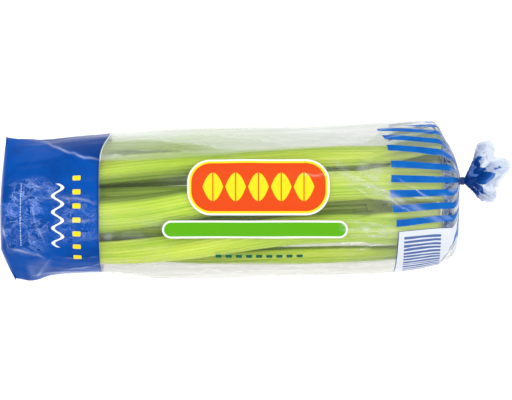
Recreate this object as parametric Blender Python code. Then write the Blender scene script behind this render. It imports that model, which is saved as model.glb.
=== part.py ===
"""A head of celery lying on its side in a film bag with a gathered, tied neck.

The head lies along X with its root end at -X and its cut tops at +X; Z is up and the bag's
flat underside is at z = 0. Shapes are worked out in millimetres, with x counted from the
root end's cut face and y from the head's own line, and are turned into metres as each mesh
is made. The finished model is then centred on the middle of its footprint.
"""

import math

import bpy
import numpy as np

MM = 0.001

# The head of celery
HEAD_LENGTH = 374.0
HEAD_STATIONS = (0.0, 40.0, 90.0, 180.0, 300.0, 374.0)
HEAD_HALF_WIDTH = (32.0, 42.0, 48.0, 50.5, 51.0, 48.5)
HEAD_HALF_HEIGHT = (32.0, 37.5, 42.5, 45.0, 45.0, 43.5)
HEAD_Y = (-9.0, -6.0, -2.5, -0.5, 3.5, 5.5)
HEAD_Z = (41.0, 43.2, 45.0, 46.2, 46.2, 45.4)

# The butt: the short stem that every stalk grows from, cut flat at its root end
BUTT_RINGS = (5.0, 10.0, 15.0, 20.0, 25.0)
BUTT_GROOVE_DEPTH = 0.9
BUTT_EDGE = ((0.0, 0.91), (1.2, 0.955), (6.0, 0.985), (16.0, 0.985))
BUTT_SIDES = 36
BUTT_LOBES = 6
BUTT_NOTCH_AT = 6.0
BUTT_NOTCH = 0.1

# Outer stalks: crescents in section, ribbed outside, forked near the top
OUTER_ANGLES = (96.0, 36.0, -24.0, -84.0, -144.0, 156.0)
OUTER_TOP_ANGLES = (69.0, 20.0, -40.0, -108.0, -177.0, 121.0)
OUTER_TURN_FROM, OUTER_TURN_TO = 80.0, 260.0
OUTER_SCALE = (1.0, 0.97, 0.95, 0.98, 0.96, 0.97)
OUTER_TRIM = (0.0, -1.5, 0.8, -0.7, 1.2, -2.0)

# How far each outer stalk bows outwards, and how that bow grows and fades along X
OUTER_BOW = (0.0, 4.0, 16.0, 0.0, 0.0, 1.0)
BOW_STATIONS = (16.0, 60.0, 115.0, 200.0, 300.0)
BOW_SHARE = (0.0, 0.55, 1.0, 0.45, 0.0)

OUTER_RIBS = 8
OUTER_SHAPE_AT = (0.0, 16.0, 40.0, 80.0, 130.0, 250.0, 310.0, 330.0, 374.0)
OUTER_BEND = (29.5, 29.5, 23.5, 15.8, 12.2, 11.4, 10.6, 9.6, 8.4)
OUTER_THICK = (6.8, 6.8, 6.8, 6.6, 6.4, 6.0, 5.8, 5.6, 5.4)
OUTER_ARC = (27.4, 27.4, 29.8, 33.0, 34.5, 32.5, 29.0, 20.5, 15.5)
OUTER_STATIONS = (16.4, 28.0, 44.0, 66.0, 92.0, 130.0, 180.0, 240.0, 290.0, 312.0, 324.0, 344.0, 374.0)

# The two side shoots of each outer stalk's fork, in that stalk's own section
FORK_STATIONS = (300.0, 316.0, 330.0, 350.0, 374.0)
FORK_SIDEWAYS = (8.2, 9.8, 11.2, 12.1, 12.7)
FORK_INWARDS = (8.8, 8.4, 8.0, 7.8, 8.2)
FORK_RADIUS = (3.0, 4.2, 4.2, 4.0, 3.8)
FORK_SIDES = 10

# Inner stalks: the younger ring inside the outer one
INNER_COUNT = 5
INNER_START = 66.0
INNER_ROUND_UNTIL, INNER_OVAL_FROM = 16.0, 110.0
INNER_SPACED_AT = 200.0
INNER_SPACED_INSET = 10.0
INNER_STATIONS_ENVELOPE = (16.0, 40.0, 90.0, 180.0, 300.0, 374.0)
INNER_HALF_WIDTH = (25.0, 26.5, 30.0, 32.4, 32.4, 30.5)
INNER_HALF_HEIGHT = (25.0, 25.0, 26.0, 27.0, 27.0, 26.0)
INNER_RIBS = 5
INNER_SHAPE_AT = (0.0, 16.0, 45.0, 90.0, 160.0, 374.0)
INNER_BEND = (22.0, 22.0, 15.0, 9.2, 7.6, 7.0)
INNER_THICK = (5.2, 5.2, 5.0, 4.8, 4.6, 4.2)
INNER_ARC = (22.5, 22.5, 22.5, 22.0, 21.5, 18.0)
INNER_STATIONS = (16.4, 32.0, 56.0, 90.0, 140.0, 200.0, 260.0, 320.0, 372.0)
INNER_TRIM = (0.0, -3.0, -1.0, -4.0, -2.0)

# Heart stalks: the youngest, with the small leaves that trimming leaves behind
HEART_COUNT = 3
HEART_START = 40.0
HEART_STATIONS_ENVELOPE = (16.0, 60.0, 120.0, 240.0, 330.0)
HEART_HALF_WIDTH = (18.8, 18.0, 17.5, 16.0, 13.0)
HEART_HALF_HEIGHT = (18.8, 15.5, 14.0, 13.0, 11.0)
HEART_RIBS = 3
HEART_SHAPE_AT = (0.0, 16.0, 60.0, 120.0, 330.0)
HEART_BEND = (15.0, 15.0, 6.5, 4.2, 2.2)
HEART_THICK = (4.8, 4.8, 4.6, 4.2, 3.0)
HEART_ARC = (21.0, 21.0, 15.0, 11.5, 6.0)
HEART_STATIONS = (16.4, 36.0, 64.0, 110.0, 170.0, 240.0, 300.0, 326.0)

# The leaflets of a heart stalk: start, length, half width, swing out of line, lean outwards
LEAFLETS = (
    (319.0, 34.0, 7.5, 0.0, 4.0),
    (306.0, 27.0, 6.0, 27.0, 6.0),
    (306.0, 27.0, 6.0, -27.0, 6.0),
)
LEAF_THICKNESS = 0.8
LEAF_STEPS = (0.0, 0.2, 0.36, 0.46, 0.62, 0.72, 0.86, 1.0)
LEAF_OUTLINE = (0.12, 0.16, 0.95, 0.62, 1.0, 0.55, 0.6, 0.05)
LEAF_FOLD = 0.28
LEAF_ARCH = 2.2

# Every stalk: its ribs' height, how much thinner its edges are, and how much of its arc is hollow
RIB_HEIGHT = 0.65
EDGE_THINNING = 0.42
HOLLOW_SHARE = 0.97

# The film bag. Each row is one section square to X: where it is, its two side edges,
# its lowest and highest point, the height of its side edges, and how square it is.
# A lowest point below the floor makes the section lie flat on it.
FILM_THICKNESS = 0.7
BAG_SECTIONS = (
    (-3.9, -63.6, 60.5, 36.2, 39.4, 37.8, 3.0),
    (-2.8, -61.5, 59.4, 14.0, 65.0, 38.0, 1.35),
    (0.6, -62.0, 58.6, 3.0, 79.0, 37.0, 1.35),
    (8.0, -63.4, 57.6, 0.5, 82.6, 34.0, 1.45),
    (20.0, -62.4, 57.4, -1.0, 84.6, 31.0, 1.6),
    (38.0, -59.0, 58.6, -2.0, 87.0, 28.5, 1.9),
    (60.0, -56.8, 61.2, -2.0, 89.4, 27.0, 2.3),
    (82.0, -56.0, 62.9, -2.0, 91.4, 26.0, 2.5),
    (105.0, -58.5, 65.4, -2.0, 92.6, 25.5, 2.4),
    (135.0, -61.8, 67.6, -2.0, 93.2, 25.0, 2.25),
    (175.0, -61.0, 68.8, -2.0, 93.4, 25.0, 2.2),
    (220.0, -60.2, 69.9, -2.0, 93.4, 25.0, 2.2),
    (265.0, -59.3, 71.0, -2.0, 93.4, 25.5, 2.2),
    (310.0, -57.8, 72.6, -2.0, 93.4, 27.0, 2.2),
    (345.0, -54.2, 74.0, -2.0, 93.0, 31.0, 2.15),
    (366.0, -50.6, 74.6, -2.0, 92.0, 36.0, 2.1),
    (377.6, -47.6, 57.6, 0.0, 90.6, 41.0, 2.1),
    (383.0, -42.0, 47.5, 5.0, 85.0, 43.0, 2.0),
    (386.4, -34.6, 38.6, 14.5, 75.0, 44.5, 2.0),
    (388.0, -16.0, 33.0, 27.0, 62.5, 45.0, 2.0),
    (389.0, 10.0, 31.0, 35.5, 54.5, 45.0, 2.0),
)
BAG_AROUND = 36
FLOOR_POWER = 3.0

# The slant of the bag's sealed end: how far its two corners stand back along X
END_SLANT_FADE = 40.0
SEAM_CORNER_BACK = (4.4, 12.5)
SEAM_STRAIGHT = (-36.0, -10.0)
SEAM_CORNER_AT = (60.5, -63.6)

# The gathered neck, and the ruffled tail beyond it
NECK = (390.4, 22.4, 45.0)
NECK_RADIUS = 5.0
NECK_LENGTH = 3.4
TAIL_REACH = (3.0, 8.0, 14.0, 21.0, 28.5, 36.0)
TAIL_HALF_WIDTH = (7.0, 12.0, 17.5, 22.5, 26.0, 28.0)
TAIL_HALF_HEIGHT = (6.2, 9.0, 12.0, 15.0, 17.5, 19.0)
TAIL_TURN = 14.0
TAIL_TURN_OVER = 12.0
TAIL_SET_BACK = (15.0, -5.5)
TAIL_SET_BACK_POWER = 1.5

# The gathers in it: how many, how deep at each tail ring, at the neck and at the bag's own end,
# how uneven round the neck, and how far the lip waves along X
PLEATS = 9
PLEAT_START = 366.0
TAIL_PLEAT = (0.25, 0.9, 1.9, 3.0, 4.0, 4.8)
END_PLEAT = 0.7
NECK_PLEAT = 0.12
LAST_RING_PLEAT_SHARE = 0.4
PLEAT_UNEVENNESS = 0.25
LIP_WAVE = 2.6
LIP_WAVES = 4

# The tie round the neck
TIE_WIDTH = 2.2
TIE_THICKNESS = 1.1
TIE_CLEARANCE = 0.35
TIE_SIDES = 24

# Colour, roughness
LOOKS = {
    "stalk_green": ((0.42, 0.58, 0.11), 0.42),
    "inner_green": ((0.56, 0.68, 0.22), 0.42),
    "heart_green": ((0.66, 0.74, 0.3), 0.45),
    "butt_cream": ((0.78, 0.8, 0.56), 0.55),
    "printed_film": ((0.06, 0.2, 0.62), 0.25),
    "tie_white": ((0.85, 0.87, 0.9), 0.35),
}


def smooth_through(xs, ys, x):
    """Height at x of the smooth curve through the points (xs, ys), with no overshoot."""
    xs, ys = np.asarray(xs, float), np.asarray(ys, float)
    rise = np.diff(ys) / np.diff(xs)
    same_way = rise[:-1] * rise[1:] > 0
    total = np.where(same_way, rise[:-1] + rise[1:], 1.0)
    inner = np.where(same_way, 2 * rise[:-1] * rise[1:] / total, 0.0)
    slopes = np.concatenate([rise[:1], inner, rise[-1:]])
    x = np.clip(x, xs[0], xs[-1])
    i = np.clip(np.searchsorted(xs, x, side="right") - 1, 0, len(xs) - 2)
    step = xs[i + 1] - xs[i]
    t = (x - xs[i]) / step
    return (
        (2 * t**3 - 3 * t**2 + 1) * ys[i]
        + (t**3 - 2 * t**2 + t) * step * slopes[i]
        + (3 * t**2 - 2 * t**3) * ys[i + 1]
        + (t**3 - t**2) * step * slopes[i + 1]
    )


def fade(x, start, end):
    """0 before start and 1 after end, with a smooth rise between."""
    t = min(max((x - start) / (end - start), 0.0), 1.0)
    return t * t * (3 - 2 * t)


def material(name):
    colour, roughness = LOOKS[name]
    made = bpy.data.materials.get(name)
    if made is None:
        made = bpy.data.materials.new(name)
        made.use_nodes = True
        surface = made.node_tree.nodes["Principled BSDF"]
        surface.inputs["Base Color"].default_value = (*colour, 1.0)
        surface.inputs["Roughness"].default_value = roughness
        surface.inputs["Metallic"].default_value = 0.0
    return made


def face_outwards(mesh):
    """Turns a closed mesh inside out if its volume comes out negative."""
    mesh.calc_loop_triangles()
    corners = np.array([v.co for v in mesh.vertices])
    corners -= corners.mean(0)
    triangles = corners[np.array([t.vertices for t in mesh.loop_triangles])]
    if np.linalg.det(triangles).sum() < 0:
        mesh.flip_normals()


def solid(name, points, faces, look):
    """One object from points in millimetres, smooth but for its sharp edges."""
    mesh = bpy.data.meshes.new(name)
    mesh.from_pydata([tuple(float(c) * MM for c in p) for p in points], [], faces)
    face_outwards(mesh)
    mesh.shade_smooth()
    mesh.set_sharp_from_angle(angle=math.radians(40))
    mesh.materials.append(material(look))
    made = bpy.data.objects.new(name, mesh)
    bpy.context.scene.collection.objects.link(made)
    return made


def band(first, second, count):
    """The triangles between two closed rings of count points that start at these indices."""
    faces = []
    for j in range(count):
        k = (j + 1) % count
        faces.append((first + j, second + j, second + k))
        faces.append((first + j, second + k, first + k))
    return faces


def lofted(rings):
    """Points and faces of a closed solid through rings of equal length, capped at both ends."""
    count = len(rings[0])
    points = [p for ring in rings for p in ring]
    faces = []
    for i in range(len(rings) - 1):
        faces += band(i * count, (i + 1) * count, count)
    faces.append(tuple(range(count)))
    faces.append(tuple(reversed(range((len(rings) - 1) * count, len(rings) * count))))
    return points, faces


def joined(name, body, extras):
    """body with the extras fused to it by one union, which is applied."""
    group = bpy.data.collections.new(name + "_extras")
    bpy.context.scene.collection.children.link(group)
    for extra in extras:
        bpy.context.scene.collection.objects.unlink(extra)
        group.objects.link(extra)
    union = body.modifiers.new("union", "BOOLEAN")
    union.operation = "UNION"
    union.operand_type = "COLLECTION"
    union.collection = group
    union.solver = "EXACT"
    bpy.context.view_layer.update()
    graph = bpy.context.evaluated_depsgraph_get()
    fused = bpy.data.meshes.new_from_object(body.evaluated_get(graph))
    body.modifiers.clear()
    body.data = fused
    for extra in extras:
        bpy.data.objects.remove(extra)
    bpy.data.collections.remove(group)
    return body


def head_axis(x):
    return (
        smooth_through(HEAD_STATIONS, HEAD_Y, x),
        smooth_through(HEAD_STATIONS, HEAD_Z, x),
    )


def crescent(bend, thick, arc, ribs):
    """A stalk's section as (outwards, sideways) pairs: a ribbed outer arc and a plain inner one.

    Its outermost point is at 0 outwards, and it curls inwards from there."""
    spread = 0.5 * arc / bend
    crest = bend + thick / 2 + RIB_HEIGHT / 2
    outline = []
    for i in range(2 * ribs + 1):
        angle = spread * (i / ribs - 1)
        thinned = thick * (1 - EDGE_THINNING * (angle / spread) ** 4)
        rib = RIB_HEIGHT / 2 if i % 2 else -RIB_HEIGHT / 2
        radius = bend + thinned / 2 + rib
        outline.append((radius * math.cos(angle) - crest, radius * math.sin(angle)))
    inside = ribs if ribs % 2 else ribs + 1
    for i in range(inside):
        angle = spread * HOLLOW_SHARE * (1 - 2 * i / (inside - 1))
        thinned = thick * (1 - EDGE_THINNING * (angle / spread) ** 4)
        radius = bend - thinned / 2
        outline.append((radius * math.cos(angle) - crest, radius * math.sin(angle)))
    return outline


def placed(outline, x, angle, half_width, half_height, bow=0.0):
    """The section's points in the head, with its outermost point bow beyond the ellipse at angle."""
    y0, z0 = head_axis(x)
    turn = math.radians(angle)
    rim = np.array([y0 + half_width * math.cos(turn), z0 + half_height * math.sin(turn)])
    out = np.array([math.cos(turn) / half_width, math.sin(turn) / half_height])
    out /= np.hypot(*out)
    side = np.array([-out[1], out[0]])
    ring = []
    for outwards, sideways in outline:
        y, z = rim + (outwards + bow) * out + sideways * side
        ring.append((x, y, z))
    return ring


def outer_outline(x, scale):
    return crescent(
        smooth_through(OUTER_SHAPE_AT, OUTER_BEND, x) * scale,
        smooth_through(OUTER_SHAPE_AT, OUTER_THICK, x),
        smooth_through(OUTER_SHAPE_AT, OUTER_ARC, x) * scale,
        OUTER_RIBS,
    )


def head_envelope(x):
    return (
        smooth_through(HEAD_STATIONS, HEAD_HALF_WIDTH, x),
        smooth_through(HEAD_STATIONS, HEAD_HALF_HEIGHT, x),
    )


def outer_angle(number, x):
    """Where a stalk sits round the head: evenly at the butt, drawn together on top higher up."""
    share = fade(x, OUTER_TURN_FROM, OUTER_TURN_TO)
    return OUTER_ANGLES[number] + (OUTER_TOP_ANGLES[number] - OUTER_ANGLES[number]) * share


def fork_shoot(name, number, hand, end):
    """One side shoot, rooted in its stalk's edge and cut off level with it."""
    rings = []
    for x in FORK_STATIONS:
        radius = smooth_through(FORK_STATIONS, FORK_RADIUS, x)
        sideways = hand * smooth_through(FORK_STATIONS, FORK_SIDEWAYS, x)
        inwards = smooth_through(FORK_STATIONS, FORK_INWARDS, x)
        outline = []
        for i in range(FORK_SIDES):
            around = 2 * math.pi * i / FORK_SIDES
            ridged = radius * (1.0 if i % 2 else 0.9)
            outline.append((ridged * math.cos(around) - inwards, sideways + ridged * math.sin(around)))
        at = x if x < FORK_STATIONS[-1] else end
        rings.append(placed(outline, at, outer_angle(number, x), *head_envelope(x)))
    return solid(name, *lofted(rings), "stalk_green")


def outer_stalk(number):
    scale, trim = OUTER_SCALE[number], OUTER_TRIM[number]
    rings = []
    for x in OUTER_STATIONS:
        at = x if x < HEAD_LENGTH else x + trim
        bow = OUTER_BOW[number] * smooth_through(BOW_STATIONS, BOW_SHARE, x)
        rings.append(placed(outer_outline(x, scale), at, outer_angle(number, x), *head_envelope(x), bow))
    name = f"outer_stalk_{number + 1}"
    body = solid(name, *lofted(rings), "stalk_green")
    shoots = [
        fork_shoot(f"{name}_shoot_{hand}", number, hand, HEAD_LENGTH + trim + 0.4 * hand - 1.0)
        for hand in (-1, 1)
    ]
    return joined(name, body, shoots)


def even_angles(count, start, half_width, half_height):
    """Angles that put count points at equal steps along an ellipse, from start degrees on."""
    fine = np.radians(start + np.linspace(0, 360, 721))
    steps = np.hypot(half_width * np.sin(fine), half_height * np.cos(fine))
    travelled = np.concatenate([[0], np.cumsum(steps[1:])])
    wanted = travelled[-1] * np.arange(count) / count
    return np.degrees(np.interp(wanted, travelled, fine))


def inner_envelope(x):
    return (
        smooth_through(INNER_STATIONS_ENVELOPE, INNER_HALF_WIDTH, x),
        smooth_through(INNER_STATIONS_ENVELOPE, INNER_HALF_HEIGHT, x),
    )


def inner_stalk(number):
    """One plain stalk of the inner ring. The ring is round at the butt and oval higher up."""
    round_angle = INNER_START + 360 * number / INNER_COUNT
    radii = [r - INNER_SPACED_INSET for r in inner_envelope(INNER_SPACED_AT)]
    oval_angle = even_angles(INNER_COUNT, INNER_START, *radii)[number]
    rings = []
    for x in INNER_STATIONS:
        share = fade(x, INNER_ROUND_UNTIL, INNER_OVAL_FROM)
        angle = round_angle + (oval_angle - round_angle) * share
        outline = crescent(
            smooth_through(INNER_SHAPE_AT, INNER_BEND, x),
            smooth_through(INNER_SHAPE_AT, INNER_THICK, x),
            smooth_through(INNER_SHAPE_AT, INNER_ARC, x),
            INNER_RIBS,
        )
        at = x if x < INNER_STATIONS[-1] else x + INNER_TRIM[number]
        rings.append(placed(outline, at, angle, *inner_envelope(x)))
    return solid(f"inner_stalk_{number + 1}", *lofted(rings), "inner_green")


def heart_envelope(x):
    return (
        smooth_through(HEART_STATIONS_ENVELOPE, HEART_HALF_WIDTH, x),
        smooth_through(HEART_STATIONS_ENVELOPE, HEART_HALF_HEIGHT, x),
    )


def leaflet(name, root, along, across, up, length, half_width):
    """A thin arched blade with a notched edge, its two faces split into triangles alike."""
    upper, lower = [], []
    for share, width in zip(LEAF_STEPS, LEAF_OUTLINE):
        middle = root + along * length * share + up * (LEAF_ARCH * math.sin(math.pi * share))
        reach = half_width * width
        for side in (-1, 0, 1):
            drop = LEAF_FOLD * reach * abs(side)
            point = middle + across * (side * reach) - up * drop
            upper.append(point + up * LEAF_THICKNESS / 2)
            lower.append(point - up * LEAF_THICKNESS / 2)
    count = len(upper)
    faces = []
    rows = len(LEAF_STEPS)
    for i in range(rows - 1):
        for j in range(2):
            a, b = 3 * i + j, 3 * i + j + 1
            c, d = a + 3, b + 3
            halves = ((a, b, c), (b, d, c)) if j else ((a, b, d), (a, d, c))
            for half in halves:
                faces.append(tuple(reversed(half)))
                faces.append(tuple(count + v for v in half))
    rim = [3 * i for i in range(rows)] + [3 * rows - 2]
    rim += [3 * i + 2 for i in reversed(range(rows))] + [1]
    for a, b in zip(rim, rim[1:] + rim[:1]):
        faces.append((b, a, count + b))
        faces.append((count + b, a, count + a))
    return solid(name, upper + lower, faces, "heart_green")


def heart_stalk(number):
    """One heart stalk and the leaflets at its top, as one body."""
    angle = HEART_START + 360 * number / HEART_COUNT
    rings = []
    for x in HEART_STATIONS:
        outline = crescent(
            smooth_through(HEART_SHAPE_AT, HEART_BEND, x),
            smooth_through(HEART_SHAPE_AT, HEART_THICK, x),
            smooth_through(HEART_SHAPE_AT, HEART_ARC, x),
            HEART_RIBS,
        )
        rings.append(placed(outline, x, angle, *heart_envelope(x)))
    name = f"heart_stalk_{number + 1}"
    body = solid(name, *lofted(rings), "heart_green")
    blades = []
    for i, (start, length, half_width, swing, lean) in enumerate(LEAFLETS):
        middle = placed([(-1.9, 0.0), (-0.9, 0.0), (-1.9, 1.0)], start, angle, *heart_envelope(start))
        root, outer, side = (np.array(p) for p in middle)
        up, sideways = outer - root, side - root
        forward = np.array([1.0, 0.0, 0.0])
        turn, tilt = math.radians(swing), math.radians(lean)
        along = math.cos(turn) * forward + math.sin(turn) * sideways
        across = np.cross(up, along)
        along = math.cos(tilt) * along + math.sin(tilt) * up
        normal = np.cross(along, across)
        blades.append(leaflet(f"{name}_leaflet_{i}", root, along, across, normal, length, half_width))
    return joined(name, body, blades)


def butt():
    """The short stem under the stalks: lobed, with ring grooves in its cut face."""
    sections = [(BUTT_GROOVE_DEPTH * (i % 2), radius, radius) for i, radius in enumerate(BUTT_RINGS)]
    for x, share in BUTT_EDGE:
        half_width, half_height = head_envelope(x)
        sections.append((x, share * half_width, share * half_height))
    rings = []
    for x, half_width, half_height in sections:
        y0, z0 = head_axis(x)
        depth = BUTT_NOTCH * min(half_width / HEAD_HALF_WIDTH[0], 1.0) ** 3
        ring = []
        for i in range(BUTT_SIDES):
            around = 2 * math.pi * i / BUTT_SIDES + math.radians(BUTT_NOTCH_AT)
            notch = (0.5 + 0.5 * math.cos(BUTT_LOBES * 2 * math.pi * i / BUTT_SIDES)) ** 3
            lobe = 1 - depth * notch
            y = y0 + half_width * lobe * math.cos(around)
            z = z0 + half_height * lobe * math.sin(around)
            ring.append((x, y, z))
        rings.append(ring)
    return solid("root_butt", *lofted(rings), "butt_cream")


def seam_slant(x, y):
    """How far a point of the bag near its sealed end stands back, so that the seam slants."""
    low, high = SEAM_STRAIGHT
    if y > high:
        back = SEAM_CORNER_BACK[0] * ((y - high) / (SEAM_CORNER_AT[0] - high)) ** 2
    elif y < low:
        back = SEAM_CORNER_BACK[1] * ((low - y) / (low - SEAM_CORNER_AT[1])) ** 2
    else:
        back = 0.0
    return back * (1 - fade(x, 0.0, END_SLANT_FADE))


def bag_section(x, y_low, y_high, z_low, z_high, z_edge, power):
    """One closed section of the bag: rounded above its side edges, flat on the floor below."""
    centre, half_width = (y_low + y_high) / 2, (y_high - y_low) / 2
    ring = []
    for j in range(BAG_AROUND):
        around = 2 * math.pi * j / BAG_AROUND
        c, s = math.cos(around), math.sin(around)
        used = power if s >= 0 or z_low > 0 else max(power, min(FLOOR_POWER, power * 1.4))
        across = math.copysign(abs(c) ** (2 / used), c)
        rise = math.copysign(abs(s) ** (2 / used), s)
        height = (z_high - z_edge) if s >= 0 else (z_edge - z_low)
        y = centre + half_width * across
        z = max(z_edge + height * rise, 0.0)
        ring.append((x + seam_slant(x, y), y, z))
    return ring


def neck_ring(reach, half_width, half_height):
    """A ring of the neck or tail, on a line that turns towards +Y beyond the tie.

    The tail is a fan: its side edges stand further back than its middle."""
    turn = math.radians(TAIL_TURN) * fade(reach, 0.0, TAIL_TURN_OVER)
    ahead = np.array([math.cos(turn), math.sin(turn), 0.0])
    side = np.array([-math.sin(turn), math.cos(turn), 0.0])
    spread = (max(reach - NECK_LENGTH, 0.0) / TAIL_REACH[-1]) ** TAIL_SET_BACK_POWER
    ring = []
    for j in range(BAG_AROUND):
        c = math.cos(2 * math.pi * j / BAG_AROUND)
        s = math.sin(2 * math.pi * j / BAG_AROUND)
        back = spread * (TAIL_SET_BACK[0] * c * c + TAIL_SET_BACK[1] * c)
        point = np.array(NECK) + ahead * (reach - back) + side * (half_width * c)
        ring.append(point + np.array([0.0, 0.0, half_height * s]))
    return ring


def outward_normals(grid):
    """Unit normals of a grid of rings, from its neighbours in both directions."""
    around = np.roll(grid, -1, axis=1) - np.roll(grid, 1, axis=1)
    along = np.gradient(grid, axis=0)
    normals = np.cross(around, along)
    return normals / np.linalg.norm(normals, axis=2, keepdims=True)


def film_grid():
    """The bag's outer face as rings of points from its sealed end to its ruffled lip."""
    rings = [bag_section(*row) for row in BAG_SECTIONS]
    pleat = [END_PLEAT * fade(row[0], PLEAT_START, BAG_SECTIONS[-3][0]) for row in BAG_SECTIONS]
    pleat[-1] *= LAST_RING_PLEAT_SHARE
    for reach in (0.0, NECK_LENGTH):
        rings.append(neck_ring(reach, NECK_RADIUS, NECK_RADIUS))
        pleat.append(NECK_PLEAT)
    for reach, half_width, half_height, depth in zip(
        TAIL_REACH, TAIL_HALF_WIDTH, TAIL_HALF_HEIGHT, TAIL_PLEAT
    ):
        rings.append(neck_ring(NECK_LENGTH + reach, half_width, half_height))
        pleat.append(depth)
    grid = np.array(rings, float)
    around = 2 * math.pi * np.arange(BAG_AROUND) / BAG_AROUND
    wave = np.cos(PLEATS * around) * (1 + PLEAT_UNEVENNESS * np.cos(2 * around + 1.0))
    grid += outward_normals(grid) * (np.array(pleat)[:, None] * wave)[:, :, None]
    lip = np.clip((np.arange(len(rings)) - len(rings) + 3) / 2, 0, 1)
    grid[:, :, 0] += LIP_WAVE * lip[:, None] * np.cos(LIP_WAVES * around + 0.6)
    return grid


def bag():
    """The film as one shell: sealed at the root end, open through its neck and tail."""
    outer = film_grid()
    inner = (outer - outward_normals(outer) * FILM_THICKNESS)[1:]
    inner[:, :, 2] = np.maximum(inner[:, :, 2], FILM_THICKNESS)
    count = BAG_AROUND
    points = [tuple(p) for p in outer.reshape(-1, 3)] + [tuple(p) for p in inner.reshape(-1, 3)]
    start = len(outer) * count
    faces = []
    for i in range(len(outer) - 1):
        faces += band(i * count, (i + 1) * count, count)
    for i in range(len(inner) - 1):
        faces += [tuple(reversed(f)) for f in band(start + i * count, start + (i + 1) * count, count)]
    last_outer, last_inner = (len(outer) - 1) * count, start + (len(inner) - 1) * count
    faces += band(last_outer, last_inner, count)
    faces += zipped(0, count)
    faces += [tuple(reversed(f)) for f in zipped(start, count)]
    return solid("film_bag", points, faces, "printed_film")


def zipped(first, count):
    """The triangles that close a flattened ring by joining its upper half to its lower one."""
    faces = []
    for j in range(count // 2):
        top, next_top = first + j, first + j + 1
        low, next_low = first + (count - j) % count, first + count - j - 1
        if top != low:
            faces.append((top, next_top, low))
        if next_top != next_low:
            faces.append((next_top, next_low, low))
    return faces


def neck_tie():
    """The narrow band that holds the gathered neck shut."""
    inner = NECK_RADIUS + TIE_CLEARANCE
    outer = inner + TIE_THICKNESS
    start = (NECK_LENGTH - TIE_WIDTH) / 2
    corners = ((start, inner), (start, outer), (start + TIE_WIDTH, outer), (start + TIE_WIDTH, inner))
    points, faces = [], []
    for i in range(TIE_SIDES):
        around = 2 * math.pi * i / TIE_SIDES
        for reach, radius in corners:
            points.append(
                (NECK[0] + reach, NECK[1] + radius * math.cos(around), NECK[2] + radius * math.sin(around))
            )
    for i in range(TIE_SIDES):
        k = (i + 1) % TIE_SIDES
        for c in range(4):
            d = (c + 1) % 4
            faces.append((4 * i + c, 4 * i + d, 4 * k + d, 4 * k + c))
    return solid("neck_tie", points, faces, "tie_white")


def centre_on_footprint(pieces):
    """Moves the whole model so that the middle of its footprint is at x = y = 0."""
    corners = np.array([v.co for piece in pieces for v in piece.data.vertices])
    middle = (corners.min(0) + corners.max(0)) / 2
    shift = (-middle[0], -middle[1], -corners[:, 2].min())
    for piece in pieces:
        for vertex in piece.data.vertices:
            vertex.co.x += shift[0]
            vertex.co.y += shift[1]
            vertex.co.z += shift[2]
    print("moved to the middle of the footprint by", [round(c / MM, 3) for c in shift], "mm")


def main():
    for old in list(bpy.data.objects):
        bpy.data.objects.remove(old)
    pieces = [butt(), bag(), neck_tie()]
    pieces += [outer_stalk(i) for i in range(len(OUTER_ANGLES))]
    pieces += [inner_stalk(i) for i in range(INNER_COUNT)]
    pieces += [heart_stalk(i) for i in range(HEART_COUNT)]
    centre_on_footprint(pieces)


main()
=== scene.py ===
"""Looks of a head of celery in a printed film bag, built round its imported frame.

The shape tables are in millimetres: x from the root end's cut face towards the tail, y across
and z above the floor. framed() turns such points into metres at their place in the frame.
A place read off the photograph is a pixel of its 512 by 400 frame and goes through pixel_place().
"""

import math

import bpy
import numpy as np
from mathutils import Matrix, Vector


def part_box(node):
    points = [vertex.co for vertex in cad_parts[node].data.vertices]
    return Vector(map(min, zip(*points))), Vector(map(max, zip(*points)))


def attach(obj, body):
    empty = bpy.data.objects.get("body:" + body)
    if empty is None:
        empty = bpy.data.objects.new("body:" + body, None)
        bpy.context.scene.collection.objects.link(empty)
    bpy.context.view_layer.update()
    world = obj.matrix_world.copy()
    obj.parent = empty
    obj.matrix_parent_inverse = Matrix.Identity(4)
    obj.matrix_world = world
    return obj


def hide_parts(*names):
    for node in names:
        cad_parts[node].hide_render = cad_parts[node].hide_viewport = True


bl_info = {
    "name": "Bagged Celery Looks",
    "version": (1, 0, 0),
    "blender": (4, 5, 0),
    "location": "3D View > Sidebar > Celery",
    "description": "Ribbed celery stalks in a printed clear film bag with a gathered neck",
    "category": "Object",
}

MM = 0.001
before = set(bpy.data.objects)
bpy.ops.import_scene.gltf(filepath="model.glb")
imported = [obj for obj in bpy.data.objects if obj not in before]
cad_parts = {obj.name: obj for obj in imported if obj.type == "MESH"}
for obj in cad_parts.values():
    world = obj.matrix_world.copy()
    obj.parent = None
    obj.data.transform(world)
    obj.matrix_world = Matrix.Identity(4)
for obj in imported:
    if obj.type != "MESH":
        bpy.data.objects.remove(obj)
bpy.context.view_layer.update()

# Where the tables' origin lies in the frame: the root end's cut face, and the neck's middle line
NECK = (390.4, 22.4, 45.0)
tie_low, tie_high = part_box("neck_tie")
ORIGIN = (
    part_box("root_butt")[0].x,
    (tie_low.y + tie_high.y) / 2 - NECK[1] * MM,
    (tie_low.z + tie_high.z) / 2 - NECK[2] * MM,
)

# The photograph: its scale in millimetres a pixel, the pixel column of the root end's cut face,
# and the pixel row of y = 0
PIXEL = 0.86
PIXEL_X, PIXEL_Y = 6.0, 207.0
PICTURE_WIDTH = 512
PICTURE_MIDDLE = (256.0, 200.0)

# The camera: focal length, sensor width, and the height at which PIXEL is the scale
LENS = 200.0
SENSOR = 36.0
FOCUS_HEIGHT = 38.0

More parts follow.
